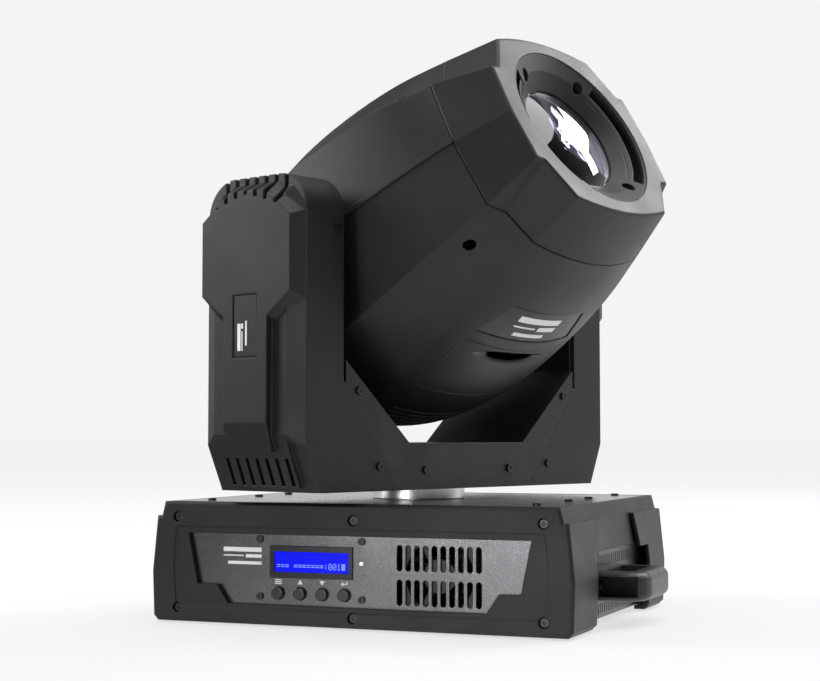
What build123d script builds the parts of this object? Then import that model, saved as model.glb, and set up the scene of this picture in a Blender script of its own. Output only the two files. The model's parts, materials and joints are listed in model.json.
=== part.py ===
from build123d import *
import os
from math import atan2, cos, degrees, pi, radians, sin

# Moving head light: a flat base, a yoke that pans on it and a head that tilts in the yoke.
# Millimetres, +Z up. X runs along the control panel, which faces -Y.
# The origin is on the pan axis, in the plane that the rubber feet rest on.
# The yoke is drawn square to X and then panned; the head is drawn with its optical axis
# along +Z and its width along X, and is then tilted, lifted and panned.

# ---- pose at rest
PAN_ANGLE = 70.44
HEAD_LEAN = 60.1              # angle of the optical axis from straight up

# ---- base, overall
BULGE_HALF = 178.4            # half width of the base shells at their widest
BULGE_Z = 41.5
BASE_FRONT = 139.0            # pan axis to the front face
BASE_REAR = 145.0             # pan axis to the rear face
SHELL_BOTTOM = 1.5
BASE_TOP = 97.5
STEP_Z = 85.9                 # height of the step along the shell sides
STEP_OUT = 174.0
STEP_IN = 170.0
TOP_HALF = 167.0              # half width of the shells at the top
TOE = 4.0                     # bevel along the bottom corners
WALL = 3.0                    # moulded shells
SHELL_BEVEL = 2.0
SEAM = 0.3                    # gap between neighbouring casings

# ---- base, where the end shells stop along the sides
FRONT_SIDE_TOP = 43.0
FRONT_SIDE_STEP = 55.0
FRONT_SIDE_LOW = 66.0
FRONT_RECESS = 74.0
REAR_SIDE_TOP = 43.0
REAR_SIDE_STEP = 52.0
REAR_SIDE_LOW = 64.0
REAR_RECESS = 90.0
RECESS_Z = 57.5               # top of the handle recess

# ---- chassis
FOOT_HEIGHT = 5.5
FOOT_RADIUS = 12.5
FOOT_X = 140.0
FOOT_Y = 105.0
SHEET = 2.0
CHASSIS_LOW_HALF = 166.0
CHASSIS_HIGH_HALF = 162.0
CHASSIS_JOGGLE_Z = 60.0
CHASSIS_SETBACK = 14.0        # chassis ends inside the shell faces
LIP = CHASSIS_SETBACK - WALL - SEAM   # how far the shells reach over the top and under the bottom
TOP_SHEET = 1.5
FLANGE = 12.0
SLOT_PITCH = 6.0
SLOT_WIDTH = 2.5
TOP_SCREW_X = 140.0
TOP_SCREW_Y = (-108.0, -24.0, 34.0, 118.0)
TOP_SEAM_Y = 8.0              # the top is two plates that meet here

# ---- control panel
PANEL_RECESS = 6.0
PANEL_SHEET = 2.0
WINDOW_TOP = 72.6
WINDOW_SHOULDER = 32.0
WINDOW_BOTTOM = 17.2
WINDOW_TOP_HALF = 145.0
WINDOW_MID_HALF = 136.5
WINDOW_STEP_HALF = 119.0
WINDOW_BOTTOM_HALF = 109.0
RIM = 3.0
LCD_X = -37.95
LCD_Z = 51.2
LCD_WIDTH = 71.3
LCD_HEIGHT = 25.2
LCD_VIEW_WIDTH = 64.5
LCD_VIEW_HEIGHT = 16.0
LCD_PROUD = 1.5
LCD_DEPTH = 8.0
BUTTON_NAMES = ("mode", "up", "down", "enter")
BUTTON_PITCH = 19.07
BUTTON_Z = 26.5
BUTTON_RADIUS = 5.0
BUTTON_CLEARANCE = 0.3
BUTTON_PROUD = 3.5
BUTTON_TRAVEL = 1.2
BUTTON_FLANGE = 1.4
BOARD_GAP = 7.0               # panel back to control board
BOARD = 1.6
SWITCH_HEIGHT = 2.0
LED_X = 5.1
LED_Z = 51.4
LED_RADIUS = 1.5
PANEL_SCREWS = ((-82.8, 68.5), (5.3, 68.5), (-82.8, 23.4), (5.3, 23.4))
VENT_X = 37.0
VENT_PITCH = 7.2
VENT_COUNT = 10
VENT_WIDTH = 4.7
VENT_HEIGHT = 20.0
VENT_ROWS = (30.2, 56.6)
SHELL_SCREWS = ((-154.5, 85.4), (154.5, 85.4), (0.0, 84.8), (-154.5, 12.5), (154.5, 12.5), (0.0, 9.3))
SCREW_WELL = 4.25
BOSS_RADIUS = 4.6
FAN_SIZE = 60.0
FAN_DEPTH = 15.0
FAN_CLEARANCE = 1.0

# ---- rear panel
REAR_WINDOW_HALF = 122.0
REAR_WINDOW_LOW = 20.0
REAR_WINDOW_HIGH = 74.0
XLR_X = (22.0, 50.0, 78.0, 106.0)
XLR_Z = 47.0
XLR_FLANGE = (26.0, 31.0)
XLR_BORE = 9.3
XLR_BODY = 11.6
XLR_DEPTH = 20.0
INLET_X = -92.0
INLET_SIZE = (27.5, 20.0)
INLET_CAVITY = (24.0, 16.5, 15.0)
FUSE_X = -48.0
FUSE_RADIUS = 7.0

# ---- carrying handles
HANDLE_HALF = 47.0
HANDLE_REACH = 209.0
HANDLE_LOW = 20.5
HANDLE_HIGH = 43.5
HANDLE_CORNER = 22.0
HANDLE_WALL = 3.5
GRIP = 15.0
FINGER_HALF = 28.0
HANDLE_FOOT = 4.0
HANDLE_RIM = 8.0              # solid outside the hollow ends

# ---- clamp receptacles under the base
CLAMP_SPACING_X = 200.0
CLAMP_SPACING_Y = 106.0
CLAMP_HOLE = 5.2
CLAMP_PAD = (44.0, 144.0, 4.0)

# ---- pan drive
HUB_RADIUS = 39.0
HUB_GAP = 0.6                 # hub collar stands clear of the top plates
PAN_SHAFT = 20.0
PAN_BORE = 9.0
RUNNING = 0.05                # radial clearance of shafts in bearings
BEARING_OUTER = 34.0
BEARING_WIDTH = 12.0
BRIDGE_Z = 78.0
BRIDGE_HALF_X = 62.0
BRIDGE_HALF_Y = 54.0
BRIDGE_SHEET = 3.0
PULLEY_Z = 50.0
PULLEY_WIDTH = 12.0
BELT_PITCH = 5.0
PAN_TEETH = 56
MOTOR_TEETH = 12
MOTOR_Y = 88.0
MOTOR_SIZE = 57.0
MOTOR_SHAFT = 3.175
BELT = 1.6
BELT_GAP = 0.35

# ---- yoke
YOKE_LOW = 107.3
YOKE_FLOOR = 144.6            # bottom of the open V
YOKE_SHOULDER = 208.6         # where the V meets the arms
FLOOR_HALF = 73.3
BASE_HALF = 82.3
ARM_INNER = 146.8
ARM_HALF_DEPTH = 55.0
ARM_TOP = 351.5
ARM_CORNER = 30.0
PLATE_EDGE = 192.2            # where the front plate's lower edge meets the arm
YOKE_SHEET = 3.0
ARM_SIDE = 190.0              # outer edge of an arm cover's front and rear sides
ARM_LEVEL = 196.7
ARM_LEVEL_HALF = 40.7
ARM_SOLE = 180.5              # outer face at the bottom of the slope
ARM_SOLE_HALF = 38.3
ARM_SLOPE_Z = 151.0
HEX_FACE = 202.5
HEX_HALF = 49.0
HEX_LOW = 259.5
HEX_HIGH = 317.5
HEX_PEAK = 341.0
PAD_FACE = HEX_FACE              # the pad below the hexagon is flush with it
PAD_HALF = 24.2
PAD_LOW = 160.5
PAD_HIGH = 242.5
LABEL_HALF = 13.5
LABEL_LOW = 210.5
LABEL_HIGH = 259.0
LABEL_DEPTH = 1.5
ARM_VENTS = 7
ARM_VENT_PITCH = 11.0
ARM_VENT_WIDTH = 4.0
PLATE_SCREWS = ((132.5, 185.7), (54.0, 123.1))
COVER_SCREWS = ((109.2, 126.6), (157.3, 310.4))
SCREW_HEAD = 3.4
SCREW_HEAD_HEIGHT = 1.8

# ---- tilt drive
TILT_Z = 296.1
TRUNNION = 17.0
TRUNNION_BORE = 10.0
TILT_BEARING_OUTER = 26.0
TILT_BEARING_WIDTH = 9.0
TILT_TEETH = 45
TILT_PULLEY_U = 163.5
TILT_MOTOR_Z = 148.0
TILT_MOTOR_SIZE = 42.0
TILT_MOTOR_LENGTH = 38.0

# ---- head; sections are set along the optical axis from the tilt axis
SEAM_A = 154.0                # rear edge of the front bezel
GROOVE_WIDTH = 1.0            # shadow line where the covers meet the bezel
GROOVE_DEPTH = 1.2
FACE_ROUND = 2.5              # rounding round the front face
FACE_A = 200.0                # front face
HEAD_WALL = 2.6
# along axis, side crest, side corner, corner height, crown corner half width and height, crown,
# ledge width, ledge drop
BODY_STATIONS = (
    (-136.0, 58.0, 55.0, 34.0, 38.0, 46.0, 54.0, 8.0, 0.0),
    (-122.0, 80.0, 76.0, 46.0, 50.0, 66.0, 77.0, 12.0, 0.0),
    (-98.0, 104.0, 98.0, 58.0, 62.0, 88.0, 101.0, 16.0, 0.0),
    (-66.0, 125.0, 117.0, 66.0, 72.0, 103.0, 117.0, 18.0, 0.0),
    (-30.0, 136.0, 127.0, 70.0, 78.0, 108.5, 122.5, 20.0, 0.0),
    (10.0, 139.0, 130.0, 72.0, 80.0, 109.0, 124.0, 20.0, 0.0),
    (50.0, 136.5, 127.5, 70.0, 80.0, 106.0, 121.0, 20.0, 0.0),
    (87.0, 130.5, 122.5, 66.5, 79.0, 101.0, 115.5, 20.0, 2.0),
    (119.0, 123.0, 115.5, 62.5, 75.5, 95.5, 109.5, 20.0, 6.0),
    (154.0, 112.5, 106.0, 57.0, 68.5, 88.0, 101.0, 20.0, 12.0),
)
FACE_STATION = (200.0, 91.0, 87.5, 43.5, 59.5, 76.5, 84.5, 8.5, 9.0)
APERTURE = 72.4
SEAT_A = 180.0                # shelf inside the bezel that the lens lies on
SEAT_SHEET = 3.0
LENS_A = 183.0                # flat rim of the lens, held down by the ring
LENS_RADIUS = 49.0
LENS_OPEN = 47.3
LENS_BULGE = 9.0
RING_SHEET = 3.0
DISH_INNER_A = 184.6          # the ring is dished: its face at the lens,
DISH_MIDDLE = 60.0            # part way out
DISH_MIDDLE_A = 193.6
DISH_EDGE = 0.6               # and just inside the front face
DISH_DEPTH = FACE_A - LENS_A - 2.0
CRESCENT_INNER = 63.0
CRESCENT_OUTER = 70.6
CRESCENT_HALF_ANGLE = 44.0
CRESCENT_LAND = 5.5           # step beside each slot
CRESCENT_STEP = 0.8
RING_SCREW_PCD = 61.0
RING_SCREW_WELL = 5.0
RING_SCREW_TURNS = (55.0, 125.0, 235.0, 305.0)
STRIP_WIDTH = 4.0
STRIP_PROUD = 1.0
STRIP_START = 38.0
COVER_WELL = 4.6              # recessed screw holes in the chamfers of the covers
COVER_WELL_A = 120.0
REAR_SLOTS = 7
REAR_SLOT_PITCH = 11.0
HATCH_HALF = 62.0
HATCH_START = -8.0
HATCH_END = 55.0
HATCH_LIP_A = 46.0
HATCH_LIP_N = 124.0
HATCH_LIP_HALF = 48.0
LABEL_A0 = 66.0
LABEL_A1 = 99.0
LABEL_WIDE = 60.0
LABEL_NARROW = 46.0
LOUVRES = 7
LOUVRE_START = -42.0
LOUVRE_PITCH = 7.0
LOUVRE_WIDTH = 3.0
LOUVRE_HALF = 52.0
FRAME_HALF = 96.0
FRAME_HALF_HEIGHT = 52.0
FRAME_REAR = -70.0
FRAME_FRONT = 62.0
FRAME_SHEET = 2.5
AXLE = 3.0
WHEEL_PLATE_A = -4.5
WHEEL_RADIUS = 45.0
WHEEL_CENTRE = 33.0           # wheels turn this far below the optical axis
WHEEL_APERTURE = 9.5
WHEEL_SHEET = 1.5
COLOUR_A = -12.0
GOBO_A = 6.0
ROD_RADIUS = 3.0
ROD_OFFSET = 44.0
RAIL_END = 148.0
CARRIAGE_A = 84.0
CARRIAGE_THICK = 10.0
CARRIAGE_TRAVEL = 20.0
FOCUS_LENS = 32.0
REFLECTOR_MOUTH = 42.0
REFLECTOR_DEPTH = 38.0
REFLECTOR_NECK = 9.0
HEAD_FAN_SIZE = 80.0
HEAD_FAN_A = -128.0


# ---- placing
def panned(shape):
    """Turn a piece drawn square in the yoke to the pan angle at rest."""
    return Rot(0, 0, PAN_ANGLE) * shape


def posed(shape):
    """Carry a piece drawn along the optical axis to its place in the yoke."""
    return Rot(0, 0, PAN_ANGLE) * Pos(0, 0, TILT_Z) * Rot(HEAD_LEAN, 0, 0) * shape


# ---- shape helpers
def block(x0, x1, y0, y1, z0, z1):
    return Pos((x0 + x1) / 2, (y0 + y1) / 2, (z0 + z1) / 2) * Box(x1 - x0, y1 - y0, z1 - z0)


def along_y(points, y0, y1):
    """An outline in X and Z, solid from y0 to y1."""
    plane = Plane(origin=(0, y1, 0), x_dir=(1, 0, 0), z_dir=(0, -1, 0))
    return extrude(plane * Polygon(*points, align=None), amount=y1 - y0, dir=plane.z_dir)


def along_x(points, x0, x1):
    """An outline in Y and Z, solid from x0 to x1."""
    plane = Plane(origin=(x0, 0, 0), x_dir=(0, 1, 0), z_dir=(1, 0, 0))
    return extrude(plane * Polygon(*points, align=None), amount=x1 - x0, dir=plane.z_dir)


def rod_x(radius, x0, x1, y=0.0, z=0.0):
    return Pos((x0 + x1) / 2, y, z) * Rot(0, 90, 0) * Cylinder(radius, x1 - x0)


def rod_y(radius, y0, y1, x=0.0, z=0.0):
    return Pos(x, (y0 + y1) / 2, z) * Rot(90, 0, 0) * Cylinder(radius, y1 - y0)


def rod_z(radius, z0, z1, x=0.0, y=0.0):
    return Pos(x, y, (z0 + z1) / 2) * Cylinder(radius, z1 - z0)


def mirrored_x(points):
    """Close a half outline, listed from bottom to top at +X, with its mirror image."""
    return list(points) + [(-x, z) for x, z in reversed(points)]


def both_sides(shape):
    return shape + mirror(shape, about=Plane.YZ)


def join(shapes):
    """One node made of several solids or of shapes that meet."""
    total = shapes[0]
    for shape in shapes[1:]:
        total = total + shape
    return total


def screw_y(x, z, face, depth, head=SCREW_HEAD):
    """Pan-head screw with its head in front of the face at y=face, its shank going to +Y."""
    shank = rod_y(head * 0.45, face, face + depth, x, z)
    top = rod_y(head, face - SCREW_HEAD_HEIGHT, face, x, z)
    cross = join([Pos(x, face - SCREW_HEAD_HEIGHT, z) * Rot(0, turn, 0) * Box(head * 1.1, 1.4, 0.9)
                  for turn in (0, 90)])
    return shank + top - cross


def save(name, shape):
    solids = shape.solids()
    export_step(solids[0] if len(solids) == 1 else Compound(children=solids), f"parts/{name}.step")


# ---- base casings
def shell_outline(inset):
    half = [
        (BULGE_HALF - TOE - 1.4 - inset, SHELL_BOTTOM + inset),
        (BULGE_HALF - 1.4 - inset, SHELL_BOTTOM + TOE + inset),
        (BULGE_HALF - inset, BULGE_Z),
        (STEP_OUT - inset, STEP_Z - inset),
        (STEP_IN - inset, STEP_Z - inset),
        (TOP_HALF - inset, BASE_TOP - inset),
    ]
    return mirrored_x(half)


def side_cut(top, step, low, recess):
    """Outline in Y and Z of what is cut from a shell's sides behind its rear edge."""
    beyond = 200.0
    return [(top, BASE_TOP + 1), (top, STEP_Z), (step, STEP_Z), (low, RECESS_Z), (recess, RECESS_Z),
            (recess, SHELL_BOTTOM - 1), (-beyond if top > 0 else beyond, SHELL_BOTTOM - 1),
            (-beyond if top > 0 else beyond, BASE_TOP + 1)]


def window_outline(grow):
    """The control panel's window: wide at the top, stepped in at the bottom corners."""
    half = [
        (WINDOW_BOTTOM_HALF + grow * 0.7, WINDOW_BOTTOM - grow),
        (WINDOW_STEP_HALF + grow * 0.7, WINDOW_SHOULDER - grow),
        (WINDOW_MID_HALF + grow, WINDOW_SHOULDER - grow),
        (WINDOW_TOP_HALF + grow, WINDOW_TOP + grow),
    ]
    return mirrored_x(half)


def rear_window(grow):
    return [(-REAR_WINDOW_HALF - grow, REAR_WINDOW_LOW - grow),
            (REAR_WINDOW_HALF + grow, REAR_WINDOW_LOW - grow),
            (REAR_WINDOW_HALF + grow, REAR_WINDOW_HIGH + grow),
            (-REAR_WINDOW_HALF - grow, REAR_WINDOW_HIGH + grow)]


def end_shell(outline_of_window, top, step, low, recess):
    """A moulded end shell, drawn as the front one, facing -Y at y=-BASE_FRONT."""
    face = -BASE_FRONT
    body = along_y(shell_outline(0), face, -top)
    body = chamfer(body.faces().sort_by(Axis.Y)[0].edges(), SHELL_BEVEL)
    body -= along_y(shell_outline(WALL), face + WALL, 0)
    body -= along_x(side_cut(-top, -step, -low, -recess), -BULGE_HALF - 1, BULGE_HALF + 1)
    inner = TOP_HALF - WALL
    body -= block(-inner, inner, face + WALL + LIP, 0, BASE_TOP - WALL - 1, BASE_TOP + 1)
    body -= block(-inner, inner, face + WALL + LIP, 0, SHELL_BOTTOM - 1, SHELL_BOTTOM + WALL + 1)
    body += along_y(outline_of_window(RIM), face + WALL, face + PANEL_RECESS)
    body -= along_y(outline_of_window(0), face - 1, face + PANEL_RECESS + 1)
    for x, z in SHELL_SCREWS:
        body += rod_y(BOSS_RADIUS, face + WALL, face + CHASSIS_SETBACK, x, z)
        body -= rod_y(SCREW_WELL, face - 1, face + WALL + 1, x, z)
        body -= rod_y(SCREW_HEAD * 0.45, face, face + CHASSIS_SETBACK + 1, x, z)
    return body


def front_relief(shell):
    """Shallow field pressed into the middle of the front face, bounded by an arc at each end."""
    depth, radius, edge = 0.8, 190.0, 158.0
    low, high = SHELL_BOTTOM + TOE + 8, STEP_Z - 8
    field = block(-edge, edge, -BASE_FRONT - 1, -BASE_FRONT + depth, low, high)
    ends = [rod_y(radius, -BASE_FRONT - 2, -BASE_FRONT + 2, side * (edge - radius), (low + high) / 2)
            for side in (-1, 1)]
    return shell - (field & ends[0] & ends[1])


def make_shells():
    front = end_shell(window_outline, FRONT_SIDE_TOP, FRONT_SIDE_STEP, FRONT_SIDE_LOW, FRONT_RECESS)
    save("front_shell", front_relief(front))
    shift = BASE_REAR - BASE_FRONT
    rear = end_shell(rear_window, REAR_SIDE_TOP - shift, REAR_SIDE_STEP - shift,
                     REAR_SIDE_LOW - shift, REAR_RECESS - shift)
    save("rear_shell", Rot(0, 0, 180) * Pos(0, -shift, 0) * rear)


def make_side_covers():
    thick = 2.5
    outer = [(CHASSIS_HIGH_HALF, BASE_TOP), (TOP_HALF, BASE_TOP), (STEP_IN, STEP_Z),
             (STEP_IN + 1.5, CHASSIS_JOGGLE_Z), (CHASSIS_HIGH_HALF, CHASSIS_JOGGLE_Z)]
    inner = [(CHASSIS_HIGH_HALF - 1, BASE_TOP - thick), (TOP_HALF - thick, BASE_TOP - thick),
             (STEP_IN - thick, STEP_Z), (STEP_IN + 1.5 - thick, CHASSIS_JOGGLE_Z + thick),
             (CHASSIS_HIGH_HALF - 1, CHASSIS_JOGGLE_Z + thick)]
    span = along_y(outer, -200, 200) - along_y(inner, -201, 201)
    front = [(-FRONT_SIDE_TOP + SEAM, BASE_TOP + 1), (-FRONT_SIDE_TOP + SEAM, STEP_Z - SEAM),
             (-FRONT_SIDE_STEP + SEAM, STEP_Z - SEAM), (-FRONT_SIDE_LOW + SEAM, CHASSIS_JOGGLE_Z - 1)]
    rear = [(REAR_SIDE_LOW - SEAM, CHASSIS_JOGGLE_Z - 1), (REAR_SIDE_STEP - SEAM, STEP_Z - SEAM),
            (REAR_SIDE_TOP - SEAM, STEP_Z - SEAM), (REAR_SIDE_TOP - SEAM, BASE_TOP + 1)]
    cover = span & along_x(front + rear, 150, 180)
    cover -= block(150, TOP_HALF - WALL, -200, 200, BASE_TOP - TOP_SHEET, BASE_TOP + 1)
    save("side_cover_right", cover)
    save("side_cover_left", mirror(cover, about=Plane.YZ))


# ---- base chassis and top
def chassis_ends():
    return -BASE_FRONT + CHASSIS_SETBACK, BASE_REAR - CHASSIS_SETBACK


def make_chassis():
    front, rear = chassis_ends()
    top = BASE_TOP - TOP_SHEET
    low, high = CHASSIS_LOW_HALF, CHASSIS_HIGH_HALF
    step = CHASSIS_JOGGLE_Z
    body = block(-low, low, front, rear, FOOT_HEIGHT, step) + block(-high, high, front, rear, step, top)
    body -= block(-low + SHEET, low - SHEET, front + SHEET, rear - SHEET, FOOT_HEIGHT + SHEET, step - SHEET)
    body -= block(-high + SHEET, high - SHEET, front + SHEET, rear - SHEET, step - SHEET - 1, top - SHEET)
    body -= block(-high + FLANGE, high - FLANGE, front + FLANGE, rear - FLANGE, top - SHEET - 1, top + 1)
    body -= block(-145, 145, front - 1, front + SHEET + 1, 13, 80)
    body -= block(-128, 128, rear - SHEET - 1, rear + 1, 14, 80)
    first = -FRONT_RECESS + 12
    count = int((REAR_RECESS + FRONT_RECESS - 24) / SLOT_PITCH)
    slots = [block(low - SHEET - 1, low + 1, first + i * SLOT_PITCH, first + i * SLOT_PITCH + SLOT_WIDTH, z0, z1)
             for i in range(count) for z0, z1 in ((9, 17), (46, 55))]
    body -= Compound(children=[s for slot in slots for s in both_sides(slot).solids()])
    body -= rod_z(PAN_BORE, FOOT_HEIGHT - 1, FOOT_HEIGHT + SHEET + 1)
    for x in (-1, 1):
        for y in (-1, 1):
            body -= rod_z(CLAMP_HOLE, FOOT_HEIGHT - 1, FOOT_HEIGHT + SHEET + 1,
                          x * CLAMP_SPACING_X / 2, y * CLAMP_SPACING_Y / 2)
            body -= rod_z(2.2, FOOT_HEIGHT - 1, FOOT_HEIGHT + SHEET + 1, x * FOOT_X, y * FOOT_Y)
    save("base_chassis", body)


def make_top_plates():
    front, rear = chassis_ends()
    low, high = BASE_TOP - TOP_SHEET, BASE_TOP
    half = TOP_HALF - WALL - SEAM
    over = WALL + LIP + SEAM
    whole = block(-half, half, -BASE_FRONT + over, BASE_REAR - over, low, high)
    whole -= rod_z(HUB_RADIUS + HUB_GAP, low - 1, high + 1)
    cut = block(-half - 1, half + 1, TOP_SEAM_Y - SEAM / 2, TOP_SEAM_Y + SEAM / 2, low - 1, high + 1)
    pieces = (whole - cut).solids().sort_by(Axis.Y)
    save("top_plate_front", pieces[0])
    save("top_plate_rear", pieces[-1])


def make_feet_and_clamps():
    feet = []
    pads = []
    for x in (-1, 1):
        for y in (-1, 1):
            feet.append(Pos(x * FOOT_X, y * FOOT_Y, FOOT_HEIGHT / 2)
                        * Cone(FOOT_RADIUS - 1.5, FOOT_RADIUS, FOOT_HEIGHT))
    save("rubber_feet", Compound(children=feet))
    width, length, thick = CLAMP_PAD
    for side in (-1, 1):
        x = side * CLAMP_SPACING_X / 2
        top = FOOT_HEIGHT + SHEET
        pad = block(x - width / 2, x + width / 2, -length / 2, length / 2, top, top + thick)
        for y in (-1, 1):
            pad -= rod_z(CLAMP_HOLE, top - 1, top + thick + 1, x, y * CLAMP_SPACING_Y / 2)
        pads.append(pad)
    save("clamp_receptacles", Compound(children=pads))


def make_handles():
    low, high = HANDLE_LOW, HANDLE_HIGH
    start = CHASSIS_LOW_HALF
    body = block(start, HANDLE_REACH, -HANDLE_HALF, HANDLE_HALF, low, high)
    corners = body.edges().filter_by(Axis.Z).sort_by(Axis.X)[-2:]
    body = fillet(corners, HANDLE_CORNER)
    outer = [e for e in body.edges() if e.center().X > HANDLE_REACH - HANDLE_CORNER - 1
             and abs(e.center().Z - (low + high) / 2) > 5]
    body = fillet(outer, 7.0)
    body -= block(start + HANDLE_FOOT, HANDLE_REACH - GRIP, -FINGER_HALF, FINGER_HALF, low - 1, high + 1)
    for side in (-1, 1):
        pocket = block(start + HANDLE_FOOT, HANDLE_REACH - HANDLE_RIM, FINGER_HALF + HANDLE_WALL,
                       HANDLE_HALF + 1, low + HANDLE_WALL, high - HANDLE_WALL)
        body -= pocket if side > 0 else mirror(pocket, about=Plane.XZ)
    screw_at = (FINGER_HALF + HANDLE_WALL + HANDLE_HALF) / 2
    middle = (low + high) / 2
    for side in (-1, 1):
        body -= rod_x(2.5, start - 1, start + HANDLE_FOOT + 1, side * screw_at, middle)
    save("handle_right", body)
    save("handle_left", mirror(body, about=Plane.YZ))


def make_base_screws():
    """Shell, panel, top plate and handle screws; a mirror image or half turn gives the far ones."""
    seat = -BASE_FRONT + WALL + 1
    screws = []
    for x, z in SHELL_SCREWS:
        front = screw_y(x, z, seat, CHASSIS_SETBACK - WALL - 1)
        screws += [front, Pos(0, BASE_REAR - BASE_FRONT, 0) * Rot(0, 0, 180) * front]
    screws += [screw_y(x, z, panel_plane(), PANEL_SHEET, 2.9) for x, z in PANEL_SCREWS]
    for side in (-1, 1):
        for y in TOP_SCREW_Y:
            head = rod_z(SCREW_HEAD, BASE_TOP, BASE_TOP + SCREW_HEAD_HEIGHT, side * TOP_SCREW_X, y)
            screws.append(head - rod_z(1.2, BASE_TOP + 0.8, BASE_TOP + 3, side * TOP_SCREW_X, y))
    start = CHASSIS_LOW_HALF
    middle = (HANDLE_LOW + HANDLE_HIGH) / 2
    screw_at = (FINGER_HALF + HANDLE_WALL + HANDLE_HALF) / 2
    for y in (-screw_at, screw_at):
        right = (rod_x(2.5, start, start + HANDLE_FOOT, y, middle)
                 + rod_x(4.2, start + HANDLE_FOOT, start + HANDLE_FOOT + 2.6, y, middle))
        screws += [right, mirror(right, about=Plane.YZ)]
    save("base_screws", Compound(children=screws))


# ---- control panel
def panel_plane():
    return -BASE_FRONT + PANEL_RECESS


def button_x(index):
    return LCD_X + (index - 1.5) * BUTTON_PITCH


def fan_centre():
    return VENT_X + (VENT_COUNT - 1) * VENT_PITCH / 2, sum(VENT_ROWS) / 2


def make_control_panel():
    face = panel_plane()
    back = face + PANEL_SHEET
    plate = along_y(window_outline(RIM), face, back)
    plate -= block(LCD_X - LCD_WIDTH / 2, LCD_X + LCD_WIDTH / 2, face - 1, back + 1,
                   LCD_Z - LCD_HEIGHT / 2, LCD_Z + LCD_HEIGHT / 2)
    for i in range(len(BUTTON_NAMES)):
        plate -= rod_y(BUTTON_RADIUS + BUTTON_CLEARANCE, face - 1, back + 1, button_x(i), BUTTON_Z)
    plate -= rod_y(LED_RADIUS, face - 1, back + 1, LED_X, LED_Z)
    for z in VENT_ROWS:
        for i in range(VENT_COUNT):
            x = VENT_X + i * VENT_PITCH
            straight = VENT_HEIGHT / 2 - VENT_WIDTH / 2
            plate -= block(x - VENT_WIDTH / 2, x + VENT_WIDTH / 2, face - 1, back + 1, z - straight, z + straight)
            for end in (z - straight, z + straight):
                plate -= rod_y(VENT_WIDTH / 2, face - 1, back + 1, x, end)
    for x, z in PANEL_SCREWS:
        plate -= rod_y(1.6, face - 1, back + 1, x, z)
    save("control_panel", plate)
    save("status_led", rod_y(LED_RADIUS, face - 0.8, back + BOARD_GAP, LED_X, LED_Z))


def make_display():
    face = panel_plane()
    front = face - LCD_PROUD
    frame = block(LCD_X - LCD_WIDTH / 2, LCD_X + LCD_WIDTH / 2, front, front + LCD_DEPTH,
                  LCD_Z - LCD_HEIGHT / 2, LCD_Z + LCD_HEIGHT / 2)
    frame -= block(LCD_X - LCD_VIEW_WIDTH / 2, LCD_X + LCD_VIEW_WIDTH / 2, front - 1, front + 3,
                   LCD_Z - LCD_VIEW_HEIGHT / 2, LCD_Z + LCD_VIEW_HEIGHT / 2)
    save("display_bezel", frame)
    glass = block(LCD_X - LCD_VIEW_WIDTH / 2, LCD_X + LCD_VIEW_WIDTH / 2, front + 1.2, front + 3,
                  LCD_Z - LCD_VIEW_HEIGHT / 2, LCD_Z + LCD_VIEW_HEIGHT / 2)
    save("display_glass", glass)


def make_buttons_and_board():
    face = panel_plane()
    back = face + PANEL_SHEET
    board_face = back + BOARD_GAP
    flange = back + 0.2
    for i, name in enumerate(BUTTON_NAMES):
        x = button_x(i)
        cap = rod_y(BUTTON_RADIUS, face - BUTTON_PROUD, flange, x, BUTTON_Z)
        cap = fillet(cap.edges().sort_by(Axis.Y)[0], 0.8)
        cap += rod_y(BUTTON_RADIUS + 1.2, flange, flange + BUTTON_FLANGE, x, BUTTON_Z)
        cap += rod_y(1.8, flange + BUTTON_FLANGE,
                     board_face - SWITCH_HEIGHT - BUTTON_TRAVEL - 0.1, x, BUTTON_Z)
        save(f"button_{name}", cap)
    (x0, z1), (x1, _), (_, z0) = PANEL_SCREWS[0], PANEL_SCREWS[1], PANEL_SCREWS[2]
    edge = 5.0
    board = block(x0 - edge, x1 + edge, board_face, board_face + BOARD, z0 - edge, z1 + edge)
    for i in range(len(BUTTON_NAMES)):
        board += block(button_x(i) - 3, button_x(i) + 3, board_face - SWITCH_HEIGHT, board_face,
                       BUTTON_Z - 3, BUTTON_Z + 3)
    for x, z in PANEL_SCREWS:
        board += rod_y(3.0, back, board_face, x, z)
    save("control_board", board)


# ---- fans
def fan_frame(size, depth):
    """Square fan frame in X and Y with its bore along Z, and three arms to a motor cup."""
    bore = size / 2 - 2
    frame = Box(size, size, depth) - Cylinder(bore, depth + 2)
    frame += Pos(0, 0, -depth / 2 + 1) * Cylinder(size * 0.22, 2)
    arms = join([Rot(0, 0, turn) * Pos(bore / 2, 0, -depth / 2 + 1) * Box(bore + 1, 4, 2)
                 for turn in (0, 120, 240)])
    holes = [(x * (size / 2 - 4), y * (size / 2 - 4)) for x in (-1, 1) for y in (-1, 1)]
    for x, y in holes:
        frame -= Pos(x, y, 0) * Cylinder(1.8, depth + 2)
    return frame + arms


def fan_rotor(size, depth):
    """Hub and seven pitched blades that turn inside fan_frame."""
    hub = size * 0.2
    tip = size / 2 - 2 - FAN_CLEARANCE
    height = depth - 4.5
    rotor = Pos(0, 0, 0.75) * Cylinder(hub, height)
    blade = Pos((hub + tip) / 2 - 0.5, 0, 0.75) * Rot(32, 0, 0) * Box(tip - hub + 1, 1.2, height)
    ring = Cylinder(tip, depth)
    for i in range(7):
        rotor += (Rot(0, 0, i * 360 / 7) * blade) & ring
    return rotor


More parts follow.
